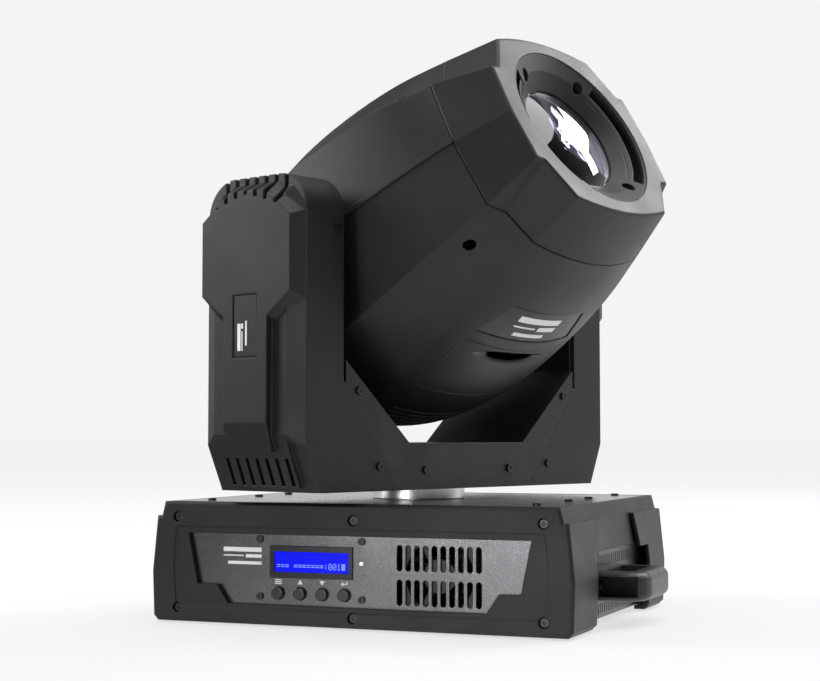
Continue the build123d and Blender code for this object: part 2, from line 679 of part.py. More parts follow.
def make_base_fan():
    x, z = fan_centre()
    y = panel_plane() + PANEL_SHEET + FAN_DEPTH / 2
    place = Pos(x, y, z) * Rot(90, 0, 0)
    save("base_fan_frame", place * Rot(180, 0, 0) * fan_frame(FAN_SIZE, FAN_DEPTH))
    save("base_fan_rotor", place * Rot(180, 0, 0) * fan_rotor(FAN_SIZE, FAN_DEPTH))


# ---- rear panel
def make_rear_panel():
    face = BASE_REAR - PANEL_RECESS
    inside = face - PANEL_SHEET
    plate = along_y(rear_window(RIM), inside, face)
    width, height = INLET_SIZE
    plate -= block(INLET_X - width / 2, INLET_X + width / 2, inside - 1, face + 1,
                   XLR_Z - height / 2, XLR_Z + height / 2)
    for x in XLR_X:
        plate -= rod_y(XLR_BODY, inside - 1, face + 1, x, XLR_Z)
    plate -= rod_y(FUSE_RADIUS, inside - 1, face + 1, FUSE_X, XLR_Z)
    save("rear_panel", plate)

    cavity_x, cavity_z, depth = INLET_CAVITY
    inlet = block(INLET_X - width / 2, INLET_X + width / 2, face - depth - 5, face, XLR_Z - height / 2,
                  XLR_Z + height / 2)
    inlet += block(INLET_X - width / 2 - 2, INLET_X + width / 2 + 2, face, face + 2.5,
                   XLR_Z - height / 2 - 3, XLR_Z + height / 2 + 3)
    inlet -= block(INLET_X - cavity_x / 2, INLET_X + cavity_x / 2, face + 2.5 - depth, face + 3,
                   XLR_Z - cavity_z / 2, XLR_Z + cavity_z / 2)
    for x, z in ((-7, 2.5), (0, -2.5), (7, 2.5)):
        inlet += block(INLET_X + x - 2, INLET_X + x + 2, face + 2 - depth, face - 3, XLR_Z + z - 1, XLR_Z + z + 1)
    save("power_inlet", inlet)

    fuse = rod_y(FUSE_RADIUS, face - 28, face, FUSE_X, XLR_Z) + rod_y(FUSE_RADIUS + 2, face, face + 5, FUSE_X, XLR_Z)
    fuse -= block(FUSE_X - 5, FUSE_X + 5, face + 3.5, face + 6, XLR_Z - 0.8, XLR_Z + 0.8)
    save("fuse_holder", fuse)

    flange_x, flange_z = XLR_FLANGE
    sockets = []
    for x in XLR_X:
        socket = block(x - flange_x / 2, x + flange_x / 2, face, face + 2.5,
                       XLR_Z - flange_z / 2, XLR_Z + flange_z / 2)
        socket += rod_y(XLR_BODY, face - XLR_DEPTH, face, x, XLR_Z)
        socket -= rod_y(XLR_BORE, face - XLR_DEPTH + 5, face + 3, x, XLR_Z)
        for turn in (90, 210, 330):
            socket += rod_y(1.2, face - XLR_DEPTH + 4, face - 3, x + 4.4 * cos(radians(turn)),
                            XLR_Z + 4.4 * sin(radians(turn)))
        sockets.append(socket)
    save("dmx_sockets", Compound(children=sockets))


# ---- what the base holds
def make_base_electronics():
    floor = FOOT_HEIGHT + SHEET
    seat = floor + CLAMP_PAD[2]
    feet = [block(x - 4, x + 4, y - 4, y + 4, floor, seat) for x, y in ((84, 102), (144, 102), (144, -14))]
    supply = block(-150, -78, -20, 108, seat, 68)
    save("power_supply", join([supply] + [mirror(foot, about=Plane.YZ) for foot in feet]))
    ballast = block(78, 150, -20, 108, seat, 72)
    for i in range(11):
        ballast -= block(84 + i * 6, 87 + i * 6, -21, 109, 66, 73)
    save("lamp_ballast", join([ballast] + feet))
    board = block(-64, 64, -112, -64, floor + 6, floor + 7.6)
    board += join([rod_z(2.5, floor, floor + 6, x, y) for x in (-58, 58) for y in (-106, -70)])
    for x, y, w, d, h in ((-40, -88, 22, 22, 3), (0, -92, 16, 16, 2.5), (34, -84, 12, 26, 9), (50, -96, 8, 16, 7)):
        board += block(x - w / 2, x + w / 2, y - d / 2, y + d / 2, floor + 7.6, floor + 7.6 + h)
    save("main_board", board)


# ---- pan drive
def pulley_radius(teeth):
    return teeth * BELT_PITCH / (2 * pi)


def toothed(teeth, width, bore):
    """Timing pulley along Z with shallow square teeth and a plain rim at each end."""
    radius = pulley_radius(teeth)
    groove = Box(1.4, BELT_PITCH / 2, width - 2)
    cuts = [Rot(0, 0, i * 360 / teeth) * Pos(radius, 0, 0) * groove for i in range(teeth)]
    pulley = Cylinder(radius, width) - Compound(children=cuts)
    return pulley - Cylinder(bore, width + 2)


def belt_loop(teeth, distance, width):
    """Belt from a pulley at the origin to the motor's pulley along +Y."""
    def loop(extra):
        b, s = pulley_radius(teeth) + extra, pulley_radius(MOTOR_TEETH) + extra
        lean = degrees(atan2(b - s, (distance ** 2 - (b - s) ** 2) ** 0.5))
        c, t = cos(radians(lean)), sin(radians(lean))
        left_b, left_s = (-b * c, b * t), (-s * c, distance + s * t)
        right_b, right_s = (b * c, b * t), (s * c, distance + s * t)
        edges = (Line(left_b, left_s) + ThreePointArc(left_s, (0, distance + s), right_s)
                 + Line(right_s, right_b) + ThreePointArc(right_b, (0, -b), left_b))
        return extrude(make_face(edges), amount=width)
    return loop(BELT_GAP + BELT) - loop(BELT_GAP)


def make_pan_drive():
    shaft_low = PULLEY_Z - 2
    hub = rod_z(HUB_RADIUS, BASE_TOP + HUB_GAP, YOKE_LOW)
    hub += rod_z(PAN_SHAFT, shaft_low, BASE_TOP + HUB_GAP)
    hub -= rod_z(PAN_BORE, shaft_low - 1, YOKE_LOW + 1)
    save("pan_hub", panned(hub))
    pulley = Pos(0, 0, PULLEY_Z + PULLEY_WIDTH / 2) * toothed(PAN_TEETH, PULLEY_WIDTH, PAN_SHAFT)
    save("pan_pulley", panned(pulley))

    bearing_top = BRIDGE_Z + BRIDGE_SHEET
    outer = rod_z(BEARING_OUTER, bearing_top - BEARING_WIDTH, bearing_top)
    outer += rod_z(BEARING_OUTER + 6, bearing_top, bearing_top + 3)
    outer -= rod_z(PAN_SHAFT + RUNNING, 0, 200)
    save("pan_bearing", outer)

    floor = FOOT_HEIGHT + SHEET
    bridge = block(-BRIDGE_HALF_X, BRIDGE_HALF_X, -BRIDGE_HALF_Y, BRIDGE_HALF_Y, BRIDGE_Z, bearing_top)
    bridge -= rod_z(BEARING_OUTER, BRIDGE_Z - 1, bearing_top + 1)
    for side in (-1, 1):
        x0, x1 = sorted((side * BRIDGE_HALF_X, side * (BRIDGE_HALF_X - BRIDGE_SHEET)))
        bridge += block(x0, x1, -BRIDGE_HALF_Y, BRIDGE_HALF_Y, floor, BRIDGE_Z)
        x0, x1 = sorted((side * BRIDGE_HALF_X, side * (BRIDGE_HALF_X + 12)))
        bridge += block(x0, x1, -BRIDGE_HALF_Y, -BRIDGE_HALF_Y + 34, floor, floor + BRIDGE_SHEET)
    save("pan_bridge", bridge)

    half = MOTOR_SIZE / 2
    motor_top = PULLEY_Z - 3
    motor = block(-half, half, MOTOR_Y - half, MOTOR_Y + half, floor, motor_top)
    motor = chamfer(motor.edges().filter_by(Axis.Z), 5)
    motor -= rod_z(MOTOR_SHAFT + 1.5, motor_top - 4, motor_top + 1, 0, MOTOR_Y)
    save("pan_motor", motor)
    pinion = Pos(0, MOTOR_Y, PULLEY_Z + PULLEY_WIDTH / 2) * toothed(MOTOR_TEETH, PULLEY_WIDTH, 1)
    pinion += rod_z(MOTOR_SHAFT, motor_top - 3, PULLEY_Z + PULLEY_WIDTH + 2, 0, MOTOR_Y)
    save("pan_motor_pulley", pinion)
    belt = Pos(0, 0, PULLEY_Z + 1) * belt_loop(PAN_TEETH, MOTOR_Y, PULLEY_WIDTH - 2)
    save("pan_belt", belt)


# ---- yoke
def plate_outline():
    """Front and rear plate of the yoke: a V with a flat floor and a flat foot, in X and Z."""
    return mirrored_x([(BASE_HALF, YOKE_LOW), (ARM_INNER, PLATE_EDGE), (ARM_INNER, YOKE_SHOULDER),
                       (FLOOR_HALF, YOKE_FLOOR)])


def arm_profile(width, top, corner, bottom):
    """Outline of an arm seen from its side, in Y and Z, with rounded top corners."""
    sketch = Pos(0, (top + bottom) / 2) * RectangleRounded(2 * width, top - bottom, corner)
    return sketch + Pos(0, bottom + corner) * Rectangle(2 * width, 2 * corner)


def side_plane(x):
    return Plane(origin=(x, 0, 0), x_dir=(0, 1, 0), z_dir=(1, 0, 0))


def make_yoke_frame():
    depth = ARM_HALF_DEPTH - YOKE_SHEET
    t = YOKE_SHEET
    trough = [(-ARM_INNER, YOKE_SHOULDER), (-FLOOR_HALF, YOKE_FLOOR), (FLOOR_HALF, YOKE_FLOOR),
              (ARM_INNER, YOKE_SHOULDER), (ARM_INNER, YOKE_SHOULDER - 1.35 * t),
              (FLOOR_HALF + 0.4 * t, YOKE_FLOOR - t), (-FLOOR_HALF - 0.4 * t, YOKE_FLOOR - t),
              (-ARM_INNER, YOKE_SHOULDER - 1.35 * t)]
    frame = along_y(trough, -depth, depth)
    frame += block(-ARM_INNER, ARM_INNER, -depth, depth, YOKE_LOW, YOKE_LOW + t)
    arm = extrude(side_plane(ARM_INNER) * arm_profile(depth, ARM_TOP - t, ARM_CORNER - t, YOKE_LOW), amount=t)
    arm -= rod_x(TILT_BEARING_OUTER, ARM_INNER - 1, ARM_INNER + t + 1, 0, TILT_Z)
    frame += both_sides(arm)
    frame -= rod_z(PAN_BORE, YOKE_LOW - 1, YOKE_LOW + t + 1)
    frame -= rod_z(PAN_BORE, YOKE_FLOOR - t - 1, YOKE_FLOOR + 1)
    shaft_hole = rod_x(MOTOR_SHAFT + 8, -ARM_INNER - t - 1, -ARM_INNER + 1, 0, TILT_MOTOR_Z)
    save("yoke_frame", panned(frame - shaft_hole))


def make_yoke_plates():
    plate = along_y(plate_outline(), -ARM_HALF_DEPTH, -ARM_HALF_DEPTH + YOKE_SHEET)
    for x, z in PLATE_SCREWS:
        for side in (-1, 1):
            plate -= rod_y(SCREW_HEAD * 0.45, -ARM_HALF_DEPTH - 1, 0, side * x, z)
    save("yoke_plates", panned(Compound(children=[plate, mirror(plate, about=Plane.XZ)])))


def make_yoke_screws():
    """Screws of the front and rear plates and of the arm covers."""
    screws = []
    for places, depth in ((PLATE_SCREWS, YOKE_SHEET), (COVER_SCREWS, WALL)):
        for x, z in places:
            for side in (-1, 1):
                front = screw_y(side * x, z, -ARM_HALF_DEPTH, depth)
                screws += [front, mirror(front, about=Plane.XZ)]
    save("yoke_screws", panned(Compound(children=screws)))


def arm_cover_outer():
    """Outside of the arm cover at +X: a side box, a bevelled level, a hexagon and a narrow pad."""
    back = ARM_INNER + YOKE_SHEET
    sole = ARM_SOLE - 6.5
    slab = extrude(side_plane(back) * arm_profile(ARM_HALF_DEPTH, ARM_TOP, ARM_CORNER, YOKE_LOW),
                   amount=ARM_SIDE - back)
    under = [(sole, YOKE_LOW - 1), (ARM_SIDE, ARM_SLOPE_Z - 8), (ARM_SIDE + 1, ARM_SLOPE_Z - 8),
             (ARM_SIDE + 1, YOKE_LOW - 1)]
    slab -= along_y(under, -ARM_HALF_DEPTH - 1, ARM_HALF_DEPTH + 1)
    wedge = [(BASE_HALF, YOKE_LOW), (back, YOKE_LOW), (back, PLATE_EDGE), (ARM_INNER, PLATE_EDGE)]
    slab += along_y(wedge, -ARM_HALF_DEPTH, ARM_HALF_DEPTH)

    def face_at(x, points):
        return side_plane(x) * Polygon(*[(y, z) for y, z in points], align=None)

    top = HEX_PEAK - 8
    level_low = [(-ARM_HALF_DEPTH, ARM_SLOPE_Z - 8), (ARM_HALF_DEPTH, ARM_SLOPE_Z - 8),
                 (ARM_HALF_DEPTH, HEX_HIGH + 8), (ARM_LEVEL_HALF, top + 8), (-ARM_LEVEL_HALF, top + 8),
                 (-ARM_HALF_DEPTH, HEX_HIGH + 8)]
    level_high = [(-ARM_LEVEL_HALF, ARM_SLOPE_Z), (ARM_LEVEL_HALF, ARM_SLOPE_Z), (ARM_LEVEL_HALF, HEX_HIGH),
                  (ARM_LEVEL_HALF - 8, top), (-ARM_LEVEL_HALF + 8, top), (-ARM_LEVEL_HALF, HEX_HIGH)]
    level = loft([face_at(ARM_SIDE, level_low), face_at(ARM_LEVEL, level_high)], ruled=True)
    slope = along_y([(sole, YOKE_LOW + 3.5), (ARM_SOLE, YOKE_LOW + 3.5), (ARM_LEVEL, ARM_SLOPE_Z),
                     (ARM_SIDE, ARM_SLOPE_Z)], -ARM_SOLE_HALF, ARM_SOLE_HALF)

    lift = HEX_FACE - ARM_SIDE
    hex_low = [(-HEX_HALF - 5, HEX_LOW - 6), (-PAD_HALF - 10, HEX_LOW - 26), (PAD_HALF + 10, HEX_LOW - 26),
               (HEX_HALF + 5, HEX_LOW - 6), (HEX_HALF + 5, HEX_HIGH + 4), (HEX_HALF - 8, HEX_PEAK - 8),
               (PAD_HALF, HEX_PEAK + 5), (-PAD_HALF, HEX_PEAK + 5), (-HEX_HALF + 8, HEX_PEAK - 8),
               (-HEX_HALF - 5, HEX_HIGH + 4)]
    hex_high = [(-HEX_HALF, HEX_LOW), (-PAD_HALF, HEX_LOW - 17), (PAD_HALF, HEX_LOW - 17), (HEX_HALF, HEX_LOW),
                (HEX_HALF, HEX_HIGH), (HEX_HALF - 13, HEX_PEAK - 14), (PAD_HALF - 6, HEX_PEAK - 2),
                (-PAD_HALF + 6, HEX_PEAK - 2), (-HEX_HALF + 13, HEX_PEAK - 14), (-HEX_HALF, HEX_HIGH)]
    hexagon = loft([face_at(ARM_SIDE, hex_low), face_at(ARM_SIDE + lift, hex_high)], ruled=True)
    pad = along_y([(ARM_LEVEL - 5, PAD_LOW - 22), (ARM_LEVEL, PAD_LOW - 22), (PAD_FACE, PAD_LOW),
                   (PAD_FACE, HEX_LOW), (HEX_FACE, HEX_LOW + 10), (ARM_LEVEL - 5, HEX_LOW + 10)],
                  -PAD_HALF, PAD_HALF)
    return slab + level + slope + hexagon + pad


def arm_cover():
    """The arm cover at +X, hollow, open towards the head and towards the yoke's trough."""
    t = WALL
    cover = arm_cover_outer()
    back = ARM_INNER + YOKE_SHEET
    room = extrude(side_plane(ARM_INNER - 1) * arm_profile(ARM_HALF_DEPTH - t, ARM_TOP - t, ARM_CORNER - t,
                                                           YOKE_LOW + t + 0.5),
                   amount=ARM_SIDE - t - ARM_INNER + 1)
    sole = ARM_SOLE - 6.5 - t
    under = [(sole, YOKE_LOW), (ARM_SIDE - t, ARM_SLOPE_Z - 8), (ARM_SIDE + 1, ARM_SLOPE_Z - 8),
             (ARM_SIDE + 1, YOKE_LOW)]
    room -= along_y(under, -ARM_HALF_DEPTH - 1, ARM_HALF_DEPTH + 1)
    cover -= room
    cover -= block(ARM_SIDE - t - 1, ARM_LEVEL - t, -ARM_LEVEL_HALF + t, ARM_LEVEL_HALF - t, ARM_SLOPE_Z + t,
                   HEX_HIGH)
    cover -= block(0, back, -ARM_HALF_DEPTH + t, ARM_HALF_DEPTH - t, YOKE_LOW - 1, ARM_TOP + 1)
    label = block(PAD_FACE - LABEL_DEPTH, PAD_FACE + 1, -LABEL_HALF, LABEL_HALF, LABEL_LOW, LABEL_HIGH)
    cover -= label
    for x, z in COVER_SCREWS:
        cover -= rod_y(SCREW_HEAD * 0.45, -ARM_HALF_DEPTH - 1, ARM_HALF_DEPTH + 1, x, z)
    for i in range(ARM_VENTS):
        y = (i - (ARM_VENTS - 1) / 2) * ARM_VENT_PITCH
        cover -= block(ARM_SOLE - 16, ARM_LEVEL + 1, y - ARM_VENT_WIDTH / 2, y + ARM_VENT_WIDTH / 2,
                       YOKE_LOW + 5, YOKE_LOW + 26)
        arc = 6.0 * abs(i - (ARM_VENTS - 1) / 2) ** 1.3
        cover -= block(ARM_SIDE - 14, HEX_FACE + 1, y - ARM_VENT_WIDTH / 2, y + ARM_VENT_WIDTH / 2,
                       HEX_PEAK - 5 - arc * 0.35, ARM_TOP + 1)
    return cover


def make_arm_covers():
    cover = arm_cover()
    save("arm_cover_right", panned(cover))
    save("arm_cover_left", panned(mirror(cover, about=Plane.YZ)))


# ---- tilt drive
def make_tilt_drive():
    bearings = []
    for side in (-1, 1):
        x0, x1 = sorted((side * (ARM_INNER - 1), side * (ARM_INNER + TILT_BEARING_WIDTH)))
        ring = rod_x(TILT_BEARING_OUTER, x0, x1, 0, TILT_Z)
        bearings.append(ring - rod_x(TRUNNION + RUNNING, x0 - 1, x1 + 1, 0, TILT_Z))
    save("tilt_bearings", panned(Compound(children=bearings)))

    half = TILT_MOTOR_SIZE / 2
    motor = block(-ARM_INNER, -ARM_INNER + TILT_MOTOR_LENGTH, -half, half, TILT_MOTOR_Z - half,
                  TILT_MOTOR_Z + half - 2)
    motor = chamfer(motor.edges().filter_by(Axis.X), 4)
    motor -= rod_x(MOTOR_SHAFT + 1.5, -ARM_INNER - 1, -ARM_INNER + 5, 0, TILT_MOTOR_Z)
    save("tilt_motor", panned(motor))

    middle = -TILT_PULLEY_U
    turn = Rot(0, 90, 0)
    pinion = Pos(middle, 0, TILT_MOTOR_Z) * turn * toothed(MOTOR_TEETH, PULLEY_WIDTH, 1)
    pinion += rod_x(MOTOR_SHAFT, middle - PULLEY_WIDTH / 2 - 1, -ARM_INNER + 4, 0, TILT_MOTOR_Z)
    save("tilt_motor_pulley", panned(pinion))
    pulley = Pos(middle, 0, TILT_Z) * turn * toothed(TILT_TEETH, PULLEY_WIDTH, TRUNNION)
    save("tilt_pulley", panned(pulley))
    loop = belt_loop(TILT_TEETH, TILT_Z - TILT_MOTOR_Z, PULLEY_WIDTH - 2)
    belt = Pos(middle - (PULLEY_WIDTH - 2) / 2, 0, TILT_Z) * Rot(0, 90, 0) * Rot(0, 0, -90) * loop
    save("tilt_belt", panned(belt))


# ---- head casings
def head_section(station, inset=0.0):
    """Section with crested sides, a ledge beside each chamfer, and crowned top and bottom."""
    a, crest, corner, height, crown_x, crown_y, crown, ledge, drop = station
    i = inset
    chamfer_rise = (crown_y - height) / (corner - crown_x)
    right = [(crest - i, 0), (corner - i, height - i * 0.3),
             (corner - ledge - i * 0.9, height + ledge * chamfer_rise - drop - i * 0.6),
             (crown_x - i * 0.7, crown_y - i)]
    right = [(x, -y) for x, y in reversed(right[1:])] + right
    left = [(-x, y) for x, y in reversed(right)]
    lines = [Line(p, q) for p, q in zip(right, right[1:])]
    lines.append(ThreePointArc(right[-1], (0, crown - i), left[0]))
    lines += [Line(p, q) for p, q in zip(left, left[1:])]
    lines.append(ThreePointArc(left[-1], (0, -crown + i), right[0]))
    return Plane.XY.offset(a) * make_face(lines)


def body_loft(inset=0.0, rear_wall=0.0):
    """The head behind the bezel, or the same shape a given depth inside its skin."""
    first = (BODY_STATIONS[0][0] + rear_wall,) + BODY_STATIONS[0][1:]
    return loft([head_section(s, inset) for s in (first,) + BODY_STATIONS[1:]])


def half_space(side):
    """Everything above (side=1) or below (side=-1) the split between the two covers."""
    low, high = sorted((0, side * 200))
    return block(-200, 200, low, high, -200, 200)


def hatch_block(grow):
    return block(-HATCH_HALF - grow, HATCH_HALF + grow, -200, -90, HATCH_START - grow, HATCH_END + grow)


def make_head_covers(outer, inner):
    shell = outer - inner
    shell -= block(-200, 200, -200, 200, SEAM_A - GROOVE_WIDTH, SEAM_A) - body_loft(GROOVE_DEPTH)
    shell -= rod_x(TRUNNION + 3, -200, 200)
    for turn in (-35, 215, 35, 145):
        shell -= Pos(0, 0, COVER_WELL_A) * Rot(0, 0, turn) * rod_x(COVER_WELL, 105, 150)
    for i in range(REAR_SLOTS):
        x = (i - (REAR_SLOTS - 1) / 2) * REAR_SLOT_PITCH
        shell -= block(x - 2.5, x + 2.5, -30, 30, -140, -120)

    upper = shell & half_space(1)
    strip = body_loft(-STRIP_PROUD) - outer
    strip &= block(-200, 200, 0, STRIP_WIDTH, STRIP_START, SEAM_A)
    upper += Compound(children=strip.solids())
    save("head_upper_cover", posed(upper))

    lower = shell & half_space(-1)
    for i in range(LOUVRES):
        a = LOUVRE_START - i * LOUVRE_PITCH
        half = LOUVRE_HALF - 2.0 * i
        lower -= block(-half, half, -200, -80, a - LOUVRE_WIDTH, a)
    plate = [(-LABEL_WIDE, LABEL_A0), (LABEL_WIDE, LABEL_A0), (LABEL_NARROW, LABEL_A1), (-LABEL_NARROW, LABEL_A1)]
    plane = Plane(origin=(0, -200, 0), x_dir=(1, 0, 0), z_dir=(0, -1, 0))
    pocket = extrude(plane * Polygon(*plate, align=None), amount=-120, dir=(0, -1, 0))
    lower -= pocket - body_loft(LABEL_DEPTH)
    hatch = lower & hatch_block(0)
    lower -= hatch_block(0)
    lip = Pos(0, -HATCH_LIP_N, HATCH_LIP_A) * Rot(24, 0, 0) * Rot(0, 90, 0) * Cylinder(7, 2 * HATCH_LIP_HALF)
    save("head_lower_cover", posed(lower))
    save("lamp_hatch", posed(hatch - lip))


def make_bezel():
    outer = loft([head_section(BODY_STATIONS[-1]), head_section(FACE_STATION)], ruled=True)
    outer = fillet(outer.faces().sort_by(Axis.Z)[-1].edges(), FACE_ROUND)
    front_inside = (FACE_A - HEAD_WALL,) + FACE_STATION[1:]
    inner = loft([head_section(BODY_STATIONS[-1], HEAD_WALL), head_section(front_inside, HEAD_WALL)], ruled=True)
    tube = rod_z(APERTURE + SEAM + HEAD_WALL, SEAT_A - SEAT_SHEET, FACE_A) & outer
    bezel = (outer - inner) + tube
    bezel -= rod_z(APERTURE + SEAM, SEAT_A, FACE_A + 1)
    bezel -= rod_z(LENS_OPEN, SEAT_A - SEAT_SHEET - 1, SEAT_A + 1)
    save("front_bezel", posed(bezel))


def crescent(side, inner, outer, half_angle, depth):
    """Kidney-shaped cutter through the lens ring, to the left (side=-1) or right (side=1)."""
    band = rod_z(outer, FACE_A - depth, FACE_A + 1)
    band -= rod_z(inner, FACE_A - depth - 1, FACE_A + 2)
    reach = 2 * outer
    edge = reach * sin(radians(half_angle)) / cos(radians(half_angle))
    wedge = Plane.XY.offset(FACE_A - depth) * Polygon((0, 0), (reach, -edge), (reach, edge), align=None)
    sector = extrude(wedge, amount=depth + 1)
    return Rot(0, 0, 0 if side > 0 else 180) * (band & sector)


def dish(drop):
    """Solid of revolution under the dished face of the lens ring, lowered by drop."""
    floor = SEAT_A - drop
    profile = [(LENS_OPEN, floor), (LENS_OPEN, DISH_INNER_A - drop), (DISH_MIDDLE, DISH_MIDDLE_A - drop),
               (APERTURE, FACE_A - DISH_EDGE - drop), (APERTURE, floor)]
    return revolve(Plane.XZ * Polygon(*profile, align=None), axis=Axis.Z)


def make_lens_ring():
    ring = dish(0) - dish(RING_SHEET) - rod_z(APERTURE + 1, 0, LENS_A)
    holes = []
    for turn in RING_SCREW_TURNS:
        x, y = RING_SCREW_PCD * cos(radians(turn)), RING_SCREW_PCD * sin(radians(turn))
        ring += rod_z(RING_SCREW_WELL + WALL, SEAT_A, FACE_A, x, y) & dish(0)
        holes.append(rod_z(RING_SCREW_WELL, SEAT_A + RING_SHEET, FACE_A + 1, x, y))
    for side in (1, -1):
        land = crescent(side, CRESCENT_INNER - CRESCENT_LAND, CRESCENT_OUTER, CRESCENT_HALF_ANGLE, DISH_DEPTH)
        ring -= land - dish(CRESCENT_STEP)
        ring -= crescent(side, CRESCENT_INNER, CRESCENT_OUTER, CRESCENT_HALF_ANGLE, DISH_DEPTH)
    for hole in holes:
        ring -= hole
    save("lens_ring", posed(ring))
    sphere = (LENS_OPEN ** 2 + LENS_BULGE ** 2) / (2 * LENS_BULGE)
    dome = Pos(0, 0, LENS_A + LENS_BULGE - sphere) * Sphere(sphere)
    dome &= rod_z(LENS_OPEN - SEAM, LENS_A, LENS_A + LENS_BULGE + 1)
    save("front_lens", posed(rod_z(LENS_RADIUS, SEAT_A, LENS_A) + dome))


# ---- inside the head
def make_head_frame(inner):
    """Bulkheads that carry the covers, side plates, trunnions, focus rails and the fan's frame."""
    t = FRAME_SHEET
    frame = inner & block(-200, 200, -200, 200, FRAME_FRONT - t, FRAME_FRONT)
    frame += inner & block(-200, 200, -200, 200, FRAME_REAR, FRAME_REAR + t)
    for side in (-1, 1):
        x0, x1 = sorted((side * FRAME_HALF, side * (FRAME_HALF - t)))
        frame += block(x0, x1, -FRAME_HALF_HEIGHT, FRAME_HALF_HEIGHT, FRAME_REAR, FRAME_FRONT)
    frame += block(-FRAME_HALF, FRAME_HALF, -FRAME_HALF_HEIGHT, FRAME_HALF_HEIGHT, WHEEL_PLATE_A, WHEEL_PLATE_A + t)
    frame -= rod_z(REFLECTOR_MOUTH + 2.5, FRAME_REAR - 1, FRAME_REAR + t + 1)
    frame -= rod_z(WHEEL_APERTURE + 14, WHEEL_PLATE_A - 1, FRAME_FRONT + 1)
    frame += rod_z(AXLE, COLOUR_A - WHEEL_SHEET, GOBO_A + WHEEL_SHEET, 0, -WHEEL_CENTRE)
    frame += rod_x(TRUNNION, FRAME_HALF - t, ARM_INNER + TILT_BEARING_WIDTH)
    frame += rod_x(TRUNNION, -TILT_PULLEY_U - PULLEY_WIDTH / 2, -FRAME_HALF + t)
    frame -= rod_x(TRUNNION_BORE, -200, 200)
    for x in (-ROD_OFFSET, ROD_OFFSET):
        frame += rod_z(ROD_RADIUS, FRAME_FRONT - t, RAIL_END, x, 0)
    fan = HEAD_FAN_SIZE / 2 - 4
    for x in (-fan, fan):
        for y in (-fan, fan):
            frame += rod_z(3, HEAD_FAN_A, FRAME_REAR, x, y)
    frame += Pos(0, 0, HEAD_FAN_A + FAN_DEPTH / 2) * fan_frame(HEAD_FAN_SIZE, FAN_DEPTH)
    save("head_frame", posed(frame))
    save("head_fan_rotor", posed(Pos(0, 0, HEAD_FAN_A + FAN_DEPTH / 2) * fan_rotor(HEAD_FAN_SIZE, FAN_DEPTH)))


def wheel(a, openings):
    disc = rod_z(WHEEL_RADIUS, a - WHEEL_SHEET / 2, a + WHEEL_SHEET / 2, 0, -WHEEL_CENTRE)
    disc += rod_z(7, a - WHEEL_SHEET / 2 - 1, a + WHEEL_SHEET / 2 + 1, 0, -WHEEL_CENTRE)
    disc -= rod_z(AXLE + RUNNING, a - 5, a + 5, 0, -WHEEL_CENTRE)
    for i in range(openings):
        turn = radians(90 + i * 360 / openings)
        disc -= rod_z(WHEEL_APERTURE, a - 5, a + 5, WHEEL_CENTRE * cos(turn), WHEEL_CENTRE * (sin(turn) - 1))
    return disc


def make_optics():
    save("colour_wheel", posed(wheel(COLOUR_A, 8)))
    save("gobo_wheel", posed(wheel(GOBO_A, 7)))

    a0, a1 = CARRIAGE_A, CARRIAGE_A + CARRIAGE_THICK
    carriage = rod_z(FOCUS_LENS + 5, a0, a1) + block(-ROD_OFFSET - 8, ROD_OFFSET + 8, -9, 9, a0, a1)
    carriage -= rod_z(FOCUS_LENS, a0 - 1, a1 + 1)
    for x in (-ROD_OFFSET, ROD_OFFSET):
        carriage -= rod_z(ROD_RADIUS + RUNNING, a0 - 1, a1 + 1, x, 0)
    glass = rod_z(FOCUS_LENS, a0 + 3, a0 + 6)
    save("focus_carriage", posed(carriage + glass))

    mouth = FRAME_REAR + FRAME_SHEET
    outer = Line((REFLECTOR_NECK, mouth - REFLECTOR_DEPTH), (REFLECTOR_NECK + 2, mouth - REFLECTOR_DEPTH))
    skin = outer + ThreePointArc(outer @ 1, (REFLECTOR_MOUTH * 0.78, mouth - REFLECTOR_DEPTH * 0.5),
                                 (REFLECTOR_MOUTH + 2, mouth))
    skin += Polyline((REFLECTOR_MOUTH + 2, mouth), (REFLECTOR_MOUTH + 6, mouth), (REFLECTOR_MOUTH + 6, mouth + 2),
                     (REFLECTOR_MOUTH, mouth + 2), (REFLECTOR_MOUTH, mouth))
    skin += ThreePointArc((REFLECTOR_MOUTH, mouth), (REFLECTOR_MOUTH * 0.78 - 2, mouth - REFLECTOR_DEPTH * 0.5 + 0.6),
                          (REFLECTOR_NECK, mouth - REFLECTOR_DEPTH))
    section = make_face(Plane.XZ * skin)
    save("reflector", posed(revolve(section, Axis.Z)))
    neck = mouth - REFLECTOR_DEPTH
    lamp = rod_z(REFLECTOR_NECK + 4, neck - 4, neck) + rod_z(4.5, neck, neck + 10) + rod_z(1.5, neck + 9, neck + 34)
    lamp += Pos(0, 0, neck + 19) * Sphere(6.5)
    save("lamp", posed(lamp))


if __name__ == "__main__":
    os.makedirs("parts", exist_ok=True)
    make_shells()
    make_side_covers()
    make_chassis()
    make_top_plates()
    make_feet_and_clamps()
    make_handles()
    make_base_screws()
    make_control_panel()
    make_display()
    make_buttons_and_board()
    make_base_fan()
    make_rear_panel()
    make_base_electronics()
    make_pan_drive()
    make_yoke_frame()
    make_yoke_plates()
    make_arm_covers()
    make_yoke_screws()
    make_tilt_drive()
    outer = body_loft()
    inner = body_loft(HEAD_WALL, HEAD_WALL)
    make_head_covers(outer, inner)
    make_bezel()
    make_lens_ring()
    make_head_frame(inner)
    make_optics()
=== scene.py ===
import json
import math

import bmesh
import bpy
from mathutils import Matrix, Vector
from mathutils.bvhtree import BVHTree


